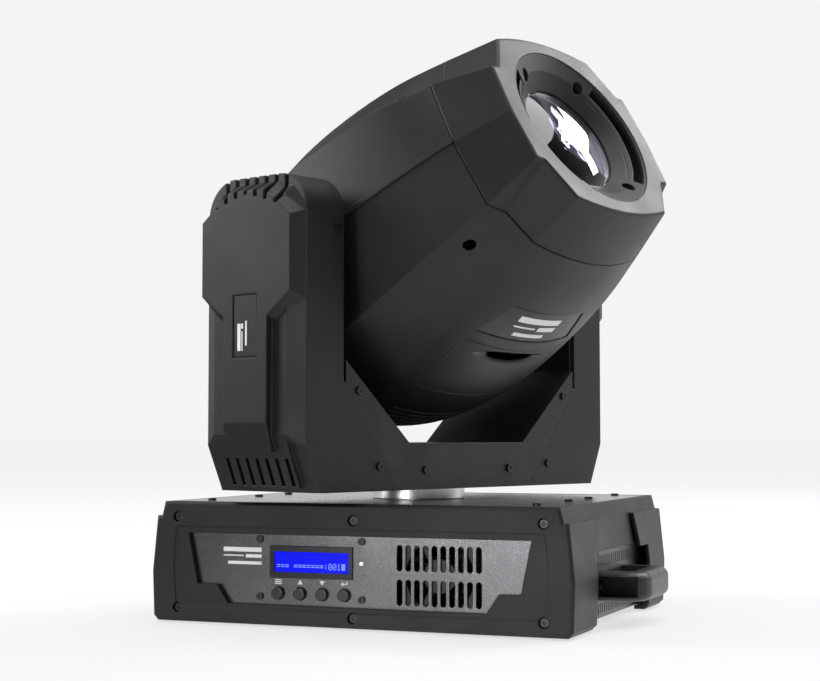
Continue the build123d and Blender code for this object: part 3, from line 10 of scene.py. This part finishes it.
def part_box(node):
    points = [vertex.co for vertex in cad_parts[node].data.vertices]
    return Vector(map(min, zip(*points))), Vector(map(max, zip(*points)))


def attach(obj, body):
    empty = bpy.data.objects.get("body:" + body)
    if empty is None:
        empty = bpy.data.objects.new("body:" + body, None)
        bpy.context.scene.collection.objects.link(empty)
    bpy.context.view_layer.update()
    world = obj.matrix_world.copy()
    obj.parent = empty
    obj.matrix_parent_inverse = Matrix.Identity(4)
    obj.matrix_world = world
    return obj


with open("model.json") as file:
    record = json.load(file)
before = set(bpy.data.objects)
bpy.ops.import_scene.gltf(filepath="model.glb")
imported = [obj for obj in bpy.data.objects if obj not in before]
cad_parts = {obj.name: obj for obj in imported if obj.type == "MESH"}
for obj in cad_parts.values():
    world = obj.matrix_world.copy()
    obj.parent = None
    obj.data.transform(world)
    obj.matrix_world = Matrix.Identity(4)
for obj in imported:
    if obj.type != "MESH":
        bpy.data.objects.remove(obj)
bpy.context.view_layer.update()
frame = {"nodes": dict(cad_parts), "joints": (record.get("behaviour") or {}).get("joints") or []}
MM = 0.001
JOINTS = {j["name"]: j for j in frame["joints"]}

# ---- the frames of the yoke and of the head, at rest
UP = Vector((0, 0, 1))
TILT_AXIS = Vector(JOINTS["tilt"]["axis"]).normalized()
TILT_POINT = Vector(JOINTS["tilt"]["pos_m"])
BEAM = Vector(JOINTS["focus_travel"]["axis"]).normalized()


def axes(x, y, z, origin):
    m = Matrix((x, y, z)).transposed().to_4x4()
    m.translation = origin
    return m


YOKE = axes(TILT_AXIS, UP.cross(TILT_AXIS), UP, Vector((0, 0, 0)))
HEAD = axes(TILT_AXIS, BEAM.cross(TILT_AXIS), BEAM, TILT_POINT)


# ---- node materials
class Surface:
    """Builds one Principled material out of small procedural parts."""

    def __init__(self, name):
        self.material = bpy.data.materials.new(name)
        self.material.use_nodes = True
        self.tree = self.material.node_tree
        self.tree.nodes.clear()
        self.shader = self.node("ShaderNodeBsdfPrincipled")
        self.output = self.node("ShaderNodeOutputMaterial")
        self.link(self.shader.outputs[0], self.output.inputs[0])
        self.place = self.node("ShaderNodeTexCoord").outputs["Object"]

    def node(self, kind, **settings):
        n = self.tree.nodes.new(kind)
        for key, value in settings.items():
            setattr(n, key, value)
        return n

    def link(self, a, b):
        self.tree.links.new(a, b)

    def set(self, **values):
        for key, value in values.items():
            self.shader.inputs[key.replace("_", " ")].default_value = value
        return self

    def noise(self, size, detail=3.0, roughness=0.55, stretch=(1, 1, 1)):
        """Noise whose lumps are about size metres across."""
        mapping = self.node("ShaderNodeMapping")
        mapping.inputs["Scale"].default_value = stretch
        self.link(self.place, mapping.inputs["Vector"])
        n = self.node("ShaderNodeTexNoise")
        n.inputs["Scale"].default_value = 1.0 / size
        n.inputs["Detail"].default_value = detail
        n.inputs["Roughness"].default_value = roughness
        self.link(mapping.outputs[0], n.inputs["Vector"])
        return n.outputs[0]

    def cells(self, size, feature="F1"):
        n = self.node("ShaderNodeTexVoronoi", feature=feature)
        n.inputs["Scale"].default_value = 1.0 / size
        self.link(self.place, n.inputs["Vector"])
        return n.outputs["Distance"]

    def span(self, value, low, high, to_low, to_high):
        n = self.node("ShaderNodeMapRange")
        for key, number in (("From Min", low), ("From Max", high),
                            ("To Min", to_low), ("To Max", to_high)):
            n.inputs[key].default_value = number
        self.link(value, n.inputs["Value"])
        return n.outputs[0]

    def math(self, operation, a, b):
        n = self.node("ShaderNodeMath", operation=operation)
        for socket, value in zip(n.inputs, (a, b)):
            if isinstance(value, (int, float)):
                socket.default_value = value
            else:
                self.link(value, socket)
        return n.outputs[0]

    def mix(self, factor, a, b):
        n = self.node("ShaderNodeMix", data_type="RGBA")
        for socket, value in ((n.inputs[0], factor), (n.inputs[6], a), (n.inputs[7], b)):
            if isinstance(value, (int, float)):
                socket.default_value = value
            elif isinstance(value, (tuple, list)):
                socket.default_value = (*value, 1.0)
            else:
                self.link(value, socket)
        return n.outputs[2]

    def multiply(self, a, b):
        n = self.node("ShaderNodeMix", data_type="RGBA", blend_type="MULTIPLY")
        n.inputs[0].default_value = 1.0
        self.link(a, n.inputs[6])
        self.link(b, n.inputs[7])
        return n.outputs[2]

    def soft_edges(self, radius):
        n = self.node("ShaderNodeBevel", samples=4)
        n.inputs["Radius"].default_value = radius
        return n.outputs[0]

    def wear(self, radius):
        """1 along sharp outer edges, 0 elsewhere."""
        rounded = self.node("ShaderNodeBevel", samples=4)
        rounded.inputs["Radius"].default_value = radius
        geometry = self.node("ShaderNodeNewGeometry")
        dot = self.node("ShaderNodeVectorMath", operation="DOT_PRODUCT")
        self.link(rounded.outputs[0], dot.inputs[0])
        self.link(geometry.outputs["Normal"], dot.inputs[1])
        return self.span(dot.outputs["Value"], 0.97, 0.80, 0.0, 1.0)

    def bump(self, *layers, edge=0.0):
        """Each layer is (height, strength, distance in metres)."""
        normal = self.soft_edges(edge) if edge else None
        for height, strength, distance in layers:
            n = self.node("ShaderNodeBump")
            n.inputs["Strength"].default_value = strength
            n.inputs["Distance"].default_value = distance
            self.link(height, n.inputs["Height"])
            if normal:
                self.link(normal, n.inputs["Normal"])
            normal = n.outputs[0]
        self.link(normal, self.shader.inputs["Normal"])
        return self


def moulded(name, colour, rough, grain=0.0007, relief=0.35, edge=0.0009, worn=1.9, coat=0.0):
    """Moulded or painted surface: fine grain, faint mottling, lighter worn edges."""
    s = Surface(name)
    dark = tuple(c * 0.86 for c in colour)
    light = tuple(min(1.0, c * 1.16) for c in colour)
    mottle = s.noise(0.035, 5.0)
    speck = s.noise(grain * 1.6, 2.0)
    base = s.mix(s.span(mottle, 0.35, 0.65, 0.0, 1.0), dark, light)
    base = s.mix(s.span(speck, 0.45, 0.75, 0.0, 0.35), base, tuple(min(1.0, c * 1.7) for c in colour))
    if worn > 1:
        scuffs = s.math("MULTIPLY", s.wear(edge * 1.3), s.span(s.noise(0.006, 4.0), 0.35, 0.65, 0.25, 1.0))
        base = s.mix(scuffs, base, tuple(min(1.0, c * worn) for c in colour))
    s.link(base, s.shader.inputs["Base Color"])
    s.link(s.span(s.noise(0.05, 6.0), 0.3, 0.7, rough - 0.05, rough + 0.05), s.shader.inputs["Roughness"])
    s.set(Coat_Weight=coat)
    s.bump((s.noise(grain, 2.0), relief, grain * 0.35), edge=edge)
    return s


def metal(name, colour, rough, brushed=(1, 1, 1), edge=0.0006, grain=0.0006):
    s = Surface(name)
    streak = s.noise(grain, 4.0, stretch=brushed)
    base = s.mix(s.span(s.noise(0.03, 5.0), 0.35, 0.65, 0.0, 1.0), tuple(c * 0.9 for c in colour), colour)
    s.link(base, s.shader.inputs["Base Color"])
    s.link(s.span(streak, 0.3, 0.7, rough - 0.07, rough + 0.07), s.shader.inputs["Roughness"])
    s.set(Metallic=1.0)
    s.bump((streak, 0.15, grain * 0.2), edge=edge)
    return s


def leathery(name, colour, rough):
    """Handle plastic with a coarse leather grain, its creases darkened with painted shade."""
    s = Surface(name)
    pebbles = s.cells(0.0016, "DISTANCE_TO_EDGE")
    creases = s.span(pebbles, 0.0, 0.18, 0.0, 1.0)
    # painted shade: the creases of the grain are coloured darker
    base = s.mix(creases, tuple(c * 0.6 for c in colour), tuple(c * 1.15 for c in colour))
    base = s.mix(s.span(s.noise(0.02, 4.0), 0.4, 0.7, 0.0, 0.4), base, tuple(c * 1.8 for c in colour))
    s.link(base, s.shader.inputs["Base Color"])
    s.link(s.span(pebbles, 0.0, 0.3, rough + 0.12, rough - 0.04), s.shader.inputs["Roughness"])
    s.bump((creases, 0.55, 0.00022), (s.noise(0.0005, 2.0), 0.2, 0.0001), edge=0.0008)
    return s


def speckled(name, colour, rough, metallic, flake=0.0006, relief=0.5):
    """Textured metallic paint: small bright flakes over an orange-peel relief."""
    s = Surface(name)
    flakes = s.noise(flake, 2.0, 0.7)
    peel = s.noise(flake * 2.2, 2.0)
    base = s.mix(s.span(s.noise(0.04, 4.0), 0.35, 0.65, 0.0, 1.0),
                 tuple(c * 0.88 for c in colour), tuple(c * 1.1 for c in colour))
    base = s.mix(s.span(flakes, 0.56, 0.70, 0.0, 0.8), base, tuple(min(1.0, c * 2.6) for c in colour))
    base = s.mix(s.wear(0.0009), base, tuple(min(1.0, c * 1.9) for c in colour))
    s.link(base, s.shader.inputs["Base Color"])
    s.link(s.span(flakes, 0.4, 0.7, rough + 0.08, rough - 0.08), s.shader.inputs["Roughness"])
    s.set(Metallic=metallic)
    s.bump((peel, relief, flake * 0.3), edge=0.0006)
    return s


def coated_glass(name, tint, film):
    """Lens glass with a thin anti-reflection film."""
    s = Surface(name)
    s.set(Base_Color=(*tint, 1.0), Transmission_Weight=1.0, IOR=1.52)
    smears = s.span(s.noise(0.012, 5.0), 0.45, 0.75, 0.015, 0.06)
    s.link(smears, s.shader.inputs["Roughness"])
    s.set(Coat_Weight=1.0, Coat_Roughness=0.02, Coat_IOR=2.2, Coat_Tint=(*film, 1.0))
    s.bump((s.noise(0.03, 2.0), 0.02, 0.0003))
    return s


def backlit(name, colour, strength, pitch):
    """Backlit display film with its rows of cells just visible."""
    s = Surface(name)
    wash = s.noise(0.03, 2.0)
    fine = s.noise(pitch, 1.0)
    shade = s.mix(s.span(wash, 0.3, 0.7, 0.0, 1.0), tuple(c * 0.75 for c in colour), colour)
    s.link(shade, s.shader.inputs["Base Color"])
    s.link(shade, s.shader.inputs["Emission Color"])
    s.set(Emission_Strength=strength, Specular_IOR_Level=0.2)
    s.link(s.span(fine, 0.3, 0.7, 0.12, 0.2), s.shader.inputs["Roughness"])
    s.bump((fine, 0.05, 0.00005))
    return s


FINISHES = {
    "shell_plastic": moulded("shell_finish", (0.017, 0.017, 0.018), 0.46, 0.0008, 0.45, edge=0.0018),
    "head_plastic": moulded("head_finish", (0.019, 0.019, 0.020), 0.46, 0.0007, 0.40, edge=0.0020),
    "chassis_paint": speckled("chassis_finish", (0.16, 0.16, 0.165), 0.40, 0.85),
    "panel_paint": speckled("panel_finish", (0.13, 0.13, 0.135), 0.22, 0.97, relief=0.08),
    "yoke_paint": speckled("yoke_finish", (0.055, 0.055, 0.057), 0.40, 0.80),
    "top_metal": metal("top_finish", (0.66, 0.66, 0.67), 0.26, (1, 12, 1)),
    "black_screw": metal("screw_finish", (0.07, 0.07, 0.07), 0.35),
    "steel": metal("steel_finish", (0.52, 0.52, 0.53), 0.30),
    "bright_aluminium": metal("hub_finish", (0.95, 0.95, 0.96), 0.30, (1, 1, 14)),
    "plain_aluminium": metal("aluminium_finish", (0.62, 0.62, 0.63), 0.35),
    "handle_plastic": leathery("handle_finish", (0.040, 0.040, 0.041), 0.24),
    "rubber": moulded("rubber_finish", (0.018, 0.018, 0.018), 0.80, 0.0010, 0.5),
    "belt_rubber": moulded("belt_finish", (0.022, 0.022, 0.022), 0.70, 0.0006, 0.5),
    "display_frame": metal("display_frame_finish", (0.05, 0.05, 0.052), 0.22),
    "display_blue": backlit("display_finish", (0.002, 0.006, 0.80), 1.0, 0.0006),
    "led_red": backlit("led_finish", (1.0, 0.80, 0.78), 1.0, 0.0004),
    "button_plastic": moulded("button_finish", (0.022, 0.022, 0.023), 0.22, 0.0005, 0.15,
                              edge=0.0012, coat=0.5),
    "board_green": moulded("board_finish", (0.03, 0.16, 0.06), 0.40, 0.0009, 0.3),
    "black_plastic": moulded("black_finish", (0.018, 0.018, 0.018), 0.40, 0.0006, 0.3),
    "motor_black": moulded("motor_finish", (0.022, 0.022, 0.022), 0.35, 0.0008, 0.3),
    "supply_metal": metal("supply_finish", (0.55, 0.55, 0.56), 0.38, (1, 10, 1)),
    "ring_plastic": moulded("ring_finish", (0.030, 0.030, 0.031), 0.46, 0.0005, 0.25),
    "lens_glass": coated_glass("lens_finish", (0.96, 0.97, 1.0), (0.93, 0.92, 1.0)),
    "mirror_glass": metal("mirror_finish", (0.90, 0.90, 0.93), 0.06, edge=0.0003),
    "lamp_glass": coated_glass("lamp_finish", (0.98, 0.98, 1.0), (1.0, 1.0, 1.0)),
    "wheel_glass": moulded("wheel_finish", (0.30, 0.10, 0.42), 0.15, 0.0008, 0.1, coat=0.5),
    "label_metal": metal("label_finish", (0.07, 0.07, 0.073), 0.40, (1, 1, 10)),
    # Pale print with a painted glow: the white emission lights the print, which is no lamp
    "print_pale": moulded("print_painted_glow_finish", (0.85, 0.85, 0.85), 0.55, 0.0003, 0.2, worn=1.0).set(
        Emission_Color=(1.0, 1.0, 1.0, 1.0), Emission_Strength=0.4),
    "pixel_pale": backlit("pixel_finish", (0.25, 0.36, 1.0), 1.0, 0.0004),
}


def finish_of(slot):
    return FINISHES[slot].material


for node in frame["nodes"].values():
    for material_slot in node.material_slots:
        material_slot.material = finish_of(material_slot.material.name.split(".")[0])


# ---- pieces made here
def piece(name, slot, body, mesh, finish=None):
    for polygon in mesh.polygons:
        polygon.use_smooth = False
    obj = bpy.data.objects.new(name, mesh)
    bpy.context.scene.collection.objects.link(obj)
    mesh.materials.append(finish_of(finish or slot))
    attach(obj, body)
    return obj


def slab(bm, outline, depth, to_world):
    """A closed slab: the outline (x, y) at height 0, grown by depth along z, placed by to_world."""
    low = [bm.verts.new(to_world @ Vector((x, y, 0))) for x, y in outline]
    high = [bm.verts.new(to_world @ Vector((x, y, depth))) for x, y in outline]
    bm.faces.new(low[::-1])
    bm.faces.new(high)
    n = len(outline)
    for i in range(n):
        j = (i + 1) % n
        bm.faces.new((low[i], low[j], high[j], high[i]))


def rectangle(x0, y0, x1, y1):
    return [(x0, y0), (x1, y0), (x1, y1), (x0, y1)]


def done(bm, name):
    bmesh.ops.recalc_face_normals(bm, faces=bm.faces)
    mesh = bpy.data.meshes.new(name)
    bm.to_mesh(mesh)
    bm.free()
    return mesh


def draped(bm, outline_rows, target, to_world, lift, thickness):
    """A sheet laid on target: outline_rows is a grid of (x, a) points cast along the local -y side."""
    inverse = to_world.inverted()
    tree = BVHTree.FromPolygons([inverse @ v.co for v in target.data.vertices],
                                [p.vertices[:] for p in target.data.polygons])
    start = -0.3                  # outside the target, on its -y side
    layers = []
    for offset in (lift, lift + thickness):
        rows = []
        for row in outline_rows:
            made = []
            for x, a in row:
                hit = tree.ray_cast(Vector((x, start, a)), Vector((0, 1, 0)))[0]
                made.append(bm.verts.new(to_world @ Vector((x, hit.y - offset, a))))
            rows.append(made)
        layers.append(rows)
    low, high = layers
    count, width = len(low), len(low[0])
    for i in range(count - 1):
        for j in range(width - 1):
            bm.faces.new((low[i][j], low[i][j + 1], low[i + 1][j + 1], low[i + 1][j]))
            bm.faces.new((high[i][j], high[i + 1][j], high[i + 1][j + 1], high[i][j + 1]))
    rim = [(i, 0) for i in range(count)] + [(count - 1, j) for j in range(1, width)]
    rim += [(i, width - 1) for i in range(count - 2, -1, -1)] + [(0, j) for j in range(width - 2, 0, -1)]
    for (i, j), (k, m) in zip(rim, rim[1:] + rim[:1]):
        bm.faces.new((low[i][j], low[k][m], high[k][m], high[i][j]))


# ---- the control panel: prints, display characters
PANEL_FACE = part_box("control_panel")[0].y
BUTTONS = ("button_mode", "button_up", "button_down", "button_enter")
FRONT = axes(Vector((1, 0, 0)), UP, Vector((0, -1, 0)), Vector((0, 0, 0)))   # x right, y up, z outward


def at_front(x, z, y):
    return Matrix.Translation((x, y, z)) @ FRONT


SYMBOL_RISE = 8.9 * MM        # symbols sit this far above the middle of a button
PRINT = 0.2 * MM              # thickness of a print
SYMBOLS = {
    "button_mode": [rectangle(-3.0, -1.9, 3.0, -1.1), rectangle(-3.0, -0.4, 3.0, 0.4),
                    rectangle(-3.0, 1.1, 3.0, 1.9)],
    "button_up": [[(-2.3, -1.6), (2.3, -1.6), (0, 1.9)]],
    "button_down": [[(-2.3, 1.6), (0, -1.9), (2.3, 1.6)]],
    "button_enter": [[(-3.0, -0.3), (-1.0, -1.8), (-1.0, 1.2)], rectangle(-1.1, -0.7, 2.6, 0.1),
                     rectangle(1.8, 0.1, 2.6, 1.9)],
}
for button in BUTTONS:
    lo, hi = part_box(button)
    bm = bmesh.new()
    spot = at_front((lo.x + hi.x) / 2, (lo.z + hi.z) / 2 + SYMBOL_RISE, PANEL_FACE)
    for outline in SYMBOLS[button]:
        slab(bm, [(x * MM, y * MM) for x, y in outline], PRINT, spot)
    mesh = done(bm, button + "_symbol")
    piece(button.replace("button", "symbol"), "panel_paint", "base", mesh, "print_pale")

# plain bars where a maker would print a name
bm = bmesh.new()
bezel_lo, bezel_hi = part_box("display_bezel")
BARS_RIGHT = bezel_lo.x - 8 * MM
# left, right, bottom and top of each bar in mm, from the right end and the display's middle
PANEL_BARS = ((-34, 0, 7.0, 10.5), (-34, -16, 3.4, 4.4), (-14, 0, 2.4, 5.0), (-30, 0, -3.0, -0.6))
for x0, x1, z0, z1 in PANEL_BARS:
    slab(bm, rectangle(x0 * MM, z0 * MM, x1 * MM, z1 * MM), PRINT,
         at_front(BARS_RIGHT, (bezel_lo.z + bezel_hi.z) / 2, PANEL_FACE))
piece("panel_bars", "panel_paint", "base", done(bm, "panel_bars"), "print_pale")

# characters of the display: digits, plain strokes and a cursor in 5 x 7 dots
DIGITS = {
    "0": ("01110", "10001", "10011", "10101", "11001", "10001", "01110"),
    "1": ("00100", "01100", "00100", "00100", "00100", "00100", "01110"),
    "=": ("00000", "00000", "11111", "00000", "11111", "00000", "00000"),
    ":": ("00000", "00100", "00100", "00000", "00100", "00100", "00000"),
    " ": ("00000",) * 7,
    "#": ("11111", "11111", "11111", "11111", "11111", "11111", "11111"),
}
view_lo, view_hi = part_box("display_glass")
COLUMNS = 16
MARGIN = 2.3 * MM
CELL = (view_hi.x - view_lo.x - 2 * MARGIN) / COLUMNS
DOT = CELL / 6.0
LINE_RISE = 4.6 * MM          # the lower line of the display
LINE_STEP = 0.72 * MM
LINE = "=== =======:001#"
DOT_GAP = 0.12                # share of a dot that is left clear
bm = bmesh.new()
for column, character in enumerate(LINE):
    for row, bits in enumerate(DIGITS[character]):
        for bit, on in enumerate(bits):
            if on == "1":
                x = view_lo.x + MARGIN + column * CELL + bit * DOT
                z = view_lo.z + LINE_RISE + (3 - row) * LINE_STEP
                slab(bm, rectangle(0, 0, DOT * (1 - DOT_GAP), LINE_STEP * (1 - DOT_GAP)), PRINT / 4,
                     at_front(x, z, view_lo.y))
piece("display_characters", "display_blue", "base", done(bm, "display_characters"), "pixel_pale")

# ---- labels with plain bars on both arms and under the head
ARM_FACE_DEPTH = 1.5 * MM     # depth of the recess in the arm's pad
PLATE = 0.8 * MM
LABEL_SIZE = (12.7 * MM, 47.5 * MM)
LABEL_MIDDLE = 234.75 * MM
ARM_BARS = ((-8.5, -19, -5.0, 2), (-3.8, -19, -2.8, -4), (-4.2, -2, -2.2, 2), (0.2, -15, 2.0, 4))


def arm_label(side, body):
    """A plate in the recess of an arm cover: side is -1 for the left arm and 1 for the right one."""
    outward = YOKE.to_3x3() @ Vector((side, 0, 0))
    along = UP.cross(outward)
    hand = "left" if side < 0 else "right"
    cover = frame["nodes"]["arm_cover_" + hand]
    reach = max((v.co - Vector((0, 0, v.co.z))).dot(outward) for v in cover.data.vertices)
    spot = axes(along, UP, outward, outward * (reach - ARM_FACE_DEPTH) + UP * LABEL_MIDDLE)
    bm = bmesh.new()
    half_x, half_y = LABEL_SIZE[0], LABEL_SIZE[1] / 2
    slab(bm, rectangle(-half_x, -half_y, half_x, half_y), PLATE, spot)
    bmesh.ops.bevel(bm, geom=bm.edges[:], offset=0.25 * MM, segments=2, affect="EDGES")
    piece("arm_label_" + hand, "yoke_paint", body, done(bm, "arm_label"), "label_metal")
    bm = bmesh.new()
    face = spot @ Matrix.Translation((0, 0, PLATE))
    for x0, y0, x1, y1 in ARM_BARS:
        slab(bm, rectangle(x0 * MM, y0 * MM, x1 * MM, y1 * MM), PRINT, face)
    piece("arm_bars_" + hand, "yoke_paint", body, done(bm, "arm_bars"), "print_pale")


arm_label(-1, "yoke")
arm_label(1, "yoke")

HEAD_LABEL = (66.0, 99.0)     # the recess runs over this stretch of the beam axis,
HEAD_LABEL_HALF = (60.0, 46.0)  # and is this wide at its two ends
LABEL_EASE = 0.8              # the plate stands clear of the recess's edge
LABEL_LIFT = 0.05 * MM        # and of its floor
STEPS = 8
HEAD_BARS = ((-30, 22, 86, 92), (-30, -4, 80, 81.6), (0, 22, 78.5, 83), (-24, 14, 71, 74.5))
lower = frame["nodes"]["head_lower_cover"]
bm = bmesh.new()
rows = []
for i in range(STEPS + 1):
    a = HEAD_LABEL[0] + LABEL_EASE + (HEAD_LABEL[1] - HEAD_LABEL[0] - 2 * LABEL_EASE) * i / STEPS
    share = (a - HEAD_LABEL[0]) / (HEAD_LABEL[1] - HEAD_LABEL[0])
    half = HEAD_LABEL_HALF[0] + (HEAD_LABEL_HALF[1] - HEAD_LABEL_HALF[0]) * share - LABEL_EASE
    rows.append([(half * (2 * j / 24 - 1) * MM, a * MM) for j in range(25)])
draped(bm, rows, lower, HEAD, LABEL_LIFT, PLATE)
piece("head_label", "head_plastic", "head", done(bm, "head_label"), "label_metal")
bm = bmesh.new()
for x0, x1, a0, a1 in HEAD_BARS:
    grid = [[((x0 + (x1 - x0) * j / 8) * MM, (a0 + (a1 - a0) * i / 2) * MM) for j in range(9)]
            for i in range(3)]
    draped(bm, grid, lower, HEAD, LABEL_LIFT + PLATE, PRINT)
piece("head_bars", "head_plastic", "head", done(bm, "head_bars"), "print_pale")

# ---- floor, light and camera
CAMERA_PLACE = (0.52964, -1.33007, 0.15209)
CAMERA_YAW = math.radians(-22.01)
CAMERA_PITCH = math.radians(3.27)
LENS = 73.45                  # focal length in mm
SENSOR = 36.0                 # sensor width in mm
SHIFT_Y = -0.0027
away = Vector((math.sin(CAMERA_YAW), math.cos(CAMERA_YAW), 0))
BACKDROP = 0.905              # brightness of the backdrop
FLOOR_TONE = 0.30             # share of the floor's brightness that the lights make
FLOOR_GLOW = 0.655            # and share that is even all over
FLOOR_BOUNCE = 0.12           # what the floor throws back onto the object
BRIGHT_SIDE = 1.0             # light from the backdrop's side of the studio
DARK_SIDE = 0.09              # and from the side behind the camera
SIDE_RANGE = (-0.35, 0.65)    # from dark to bright, as the cosine from the camera's heading
HEIGHT_RANGE = (0.12, 0.42)   # the surround fades between these heights of a ray
OVERHEAD = 0.16               # to this share
FLOOR_RINGS = (0.5, 2.0, 8.0, 40.0)
FLOOR_SIDES = 48
MIRRORED_X = (-0.50, 0.05)    # reflections of the floor brighten between these places,
MIRRORED_LOW = 0.06           # starting from this share

floor_finish = Surface("floor_finish")
rays = floor_finish.node("ShaderNodeLightPath").outputs
grain = floor_finish.mix(floor_finish.noise(0.3, 3.0), (FLOOR_TONE * 0.985,) * 3, (FLOOR_TONE,) * 3)
shown = floor_finish.mix(rays["Is Diffuse Ray"], grain, (FLOOR_BOUNCE,) * 3)
across_floor = floor_finish.node("ShaderNodeSeparateXYZ")
floor_finish.link(floor_finish.place, across_floor.inputs[0])
lit_part = floor_finish.span(across_floor.outputs["X"], *MIRRORED_X, MIRRORED_LOW, 1.0)
mirrored = floor_finish.mix(rays["Is Glossy Ray"], (1.0,) * 3, lit_part)
floor_finish.link(floor_finish.multiply(shown, mirrored), floor_finish.shader.inputs["Base Color"])
glow = floor_finish.mix(rays["Is Diffuse Ray"], (FLOOR_GLOW,) * 3, (0.0,) * 3)
floor_finish.link(floor_finish.multiply(glow, mirrored), floor_finish.shader.inputs["Emission Color"])
floor_finish.set(Emission_Strength=1.0, Roughness=0.9, Specular_IOR_Level=0.0)
bm = bmesh.new()
turns = [math.radians(360 / FLOOR_SIDES * i) for i in range(FLOOR_SIDES)]
rings = [[bm.verts.new((r * math.cos(t), r * math.sin(t), 0)) for t in turns] for r in FLOOR_RINGS]
bm.faces.new(rings[0])
for inner, outer in zip(rings, rings[1:]):
    for i in range(FLOOR_SIDES):
        j = (i + 1) % FLOOR_SIDES
        bm.faces.new((inner[i], inner[j], outer[j], outer[i]))
floor = bpy.data.objects.new("floor", done(bm, "floor"))
floor.data.materials.append(floor_finish.material)
bpy.context.scene.collection.objects.link(floor)

world = bpy.data.worlds.new("studio")
bpy.context.scene.world = world
world.use_nodes = True
nodes = world.node_tree.nodes
backdrop = nodes["Background"]
backdrop.inputs[0].default_value = (BACKDROP, BACKDROP, BACKDROP, 1.0)
ambient = nodes.new("ShaderNodeBackground")
links = world.node_tree.links
direction = nodes.new("ShaderNodeTexCoord")


def smooth_range(value, low, high, to_low, to_high):
    n = nodes.new("ShaderNodeMapRange")
    n.interpolation_type = "SMOOTHSTEP"
    for key, number in (("From Min", low), ("From Max", high), ("To Min", to_low), ("To Max", to_high)):
        n.inputs[key].default_value = number
    links.new(value, n.inputs["Value"])
    return n.outputs[0]


towards = nodes.new("ShaderNodeVectorMath")
towards.operation = "DOT_PRODUCT"
towards.inputs[1].default_value = away
links.new(direction.outputs["Generated"], towards.inputs[0])
ramp = smooth_range(towards.outputs["Value"], *SIDE_RANGE, DARK_SIDE, BRIGHT_SIDE)
height = nodes.new("ShaderNodeSeparateXYZ")
links.new(direction.outputs["Generated"], height.inputs[0])
fade = smooth_range(height.outputs["Z"], *HEIGHT_RANGE, 1.0, OVERHEAD)
strength = nodes.new("ShaderNodeMath")
strength.operation = "MULTIPLY"
links.new(ramp, strength.inputs[0])
links.new(fade, strength.inputs[1])
links.new(strength.outputs[0], ambient.inputs[1])
choice = nodes.new("ShaderNodeMixShader")
path = nodes.new("ShaderNodeLightPath")
links.new(path.outputs["Is Camera Ray"], choice.inputs[0])
links.new(ambient.outputs[0], choice.inputs[1])
links.new(backdrop.outputs[0], choice.inputs[2])
links.new(choice.outputs[0], nodes["World Output"].inputs[0])


def lamp_object(light, place, aim):
    obj = bpy.data.objects.new(light.name, light)
    obj.location = place
    obj.rotation_mode = "QUATERNION"
    obj.rotation_quaternion = (Vector(aim) - Vector(place)).to_track_quat("-Z", "Y")
    bpy.context.scene.collection.objects.link(obj)


def softbox(name, size, power, place, aim):
    light = bpy.data.lights.new(name, "AREA")
    light.shape = "RECTANGLE"
    light.size, light.size_y = size
    light.energy = power
    lamp_object(light, place, aim)


MIDDLE = (0.0, 0.0, 0.25)
SKY_STRENGTH = 2.2
SKY_ANGLE = math.radians(80)
# name, size in metres, power in watts, place and the point it is aimed at
SOFTBOXES = (
    ("lens_light", (1.3, 0.6), 22, (1.25, 2.1, 2.05), MIDDLE),
    ("lens_light_tall", (0.5, 1.3), 17, (1.75, 1.9, 2.05), MIDDLE),
    ("left_light", (0.8, 1.5), 28, (-2.4, -0.6, 1.3), MIDDLE),
    ("low_front_light", (1.0, 0.5), 20, (-0.75, -3.1, 0.05), (0.1, -0.1, 0.1)),
)
sky = bpy.data.lights.new("sky_light", "SUN")
sky.energy = SKY_STRENGTH
sky.angle = SKY_ANGLE
lamp_object(sky, (0.5, -0.3, 4.0), (0.0, 0.0, 0.0))
for light in SOFTBOXES:
    softbox(*light)

camera = bpy.data.cameras.new("camera")
camera.lens = LENS
camera.sensor_width = SENSOR
camera.shift_y = SHIFT_Y
camera.clip_start, camera.clip_end = 0.05, 60.0
camera_object = bpy.data.objects.new("camera", camera)
camera_object.location = CAMERA_PLACE
camera_object.rotation_mode = "QUATERNION"
forward = away * math.cos(CAMERA_PITCH) + UP * math.sin(CAMERA_PITCH)
camera_object.rotation_quaternion = forward.to_track_quat("-Z", "Y")
bpy.context.scene.collection.objects.link(camera_object)
bpy.context.scene.camera = camera_object
bpy.context.scene.view_settings.view_transform = "Standard"
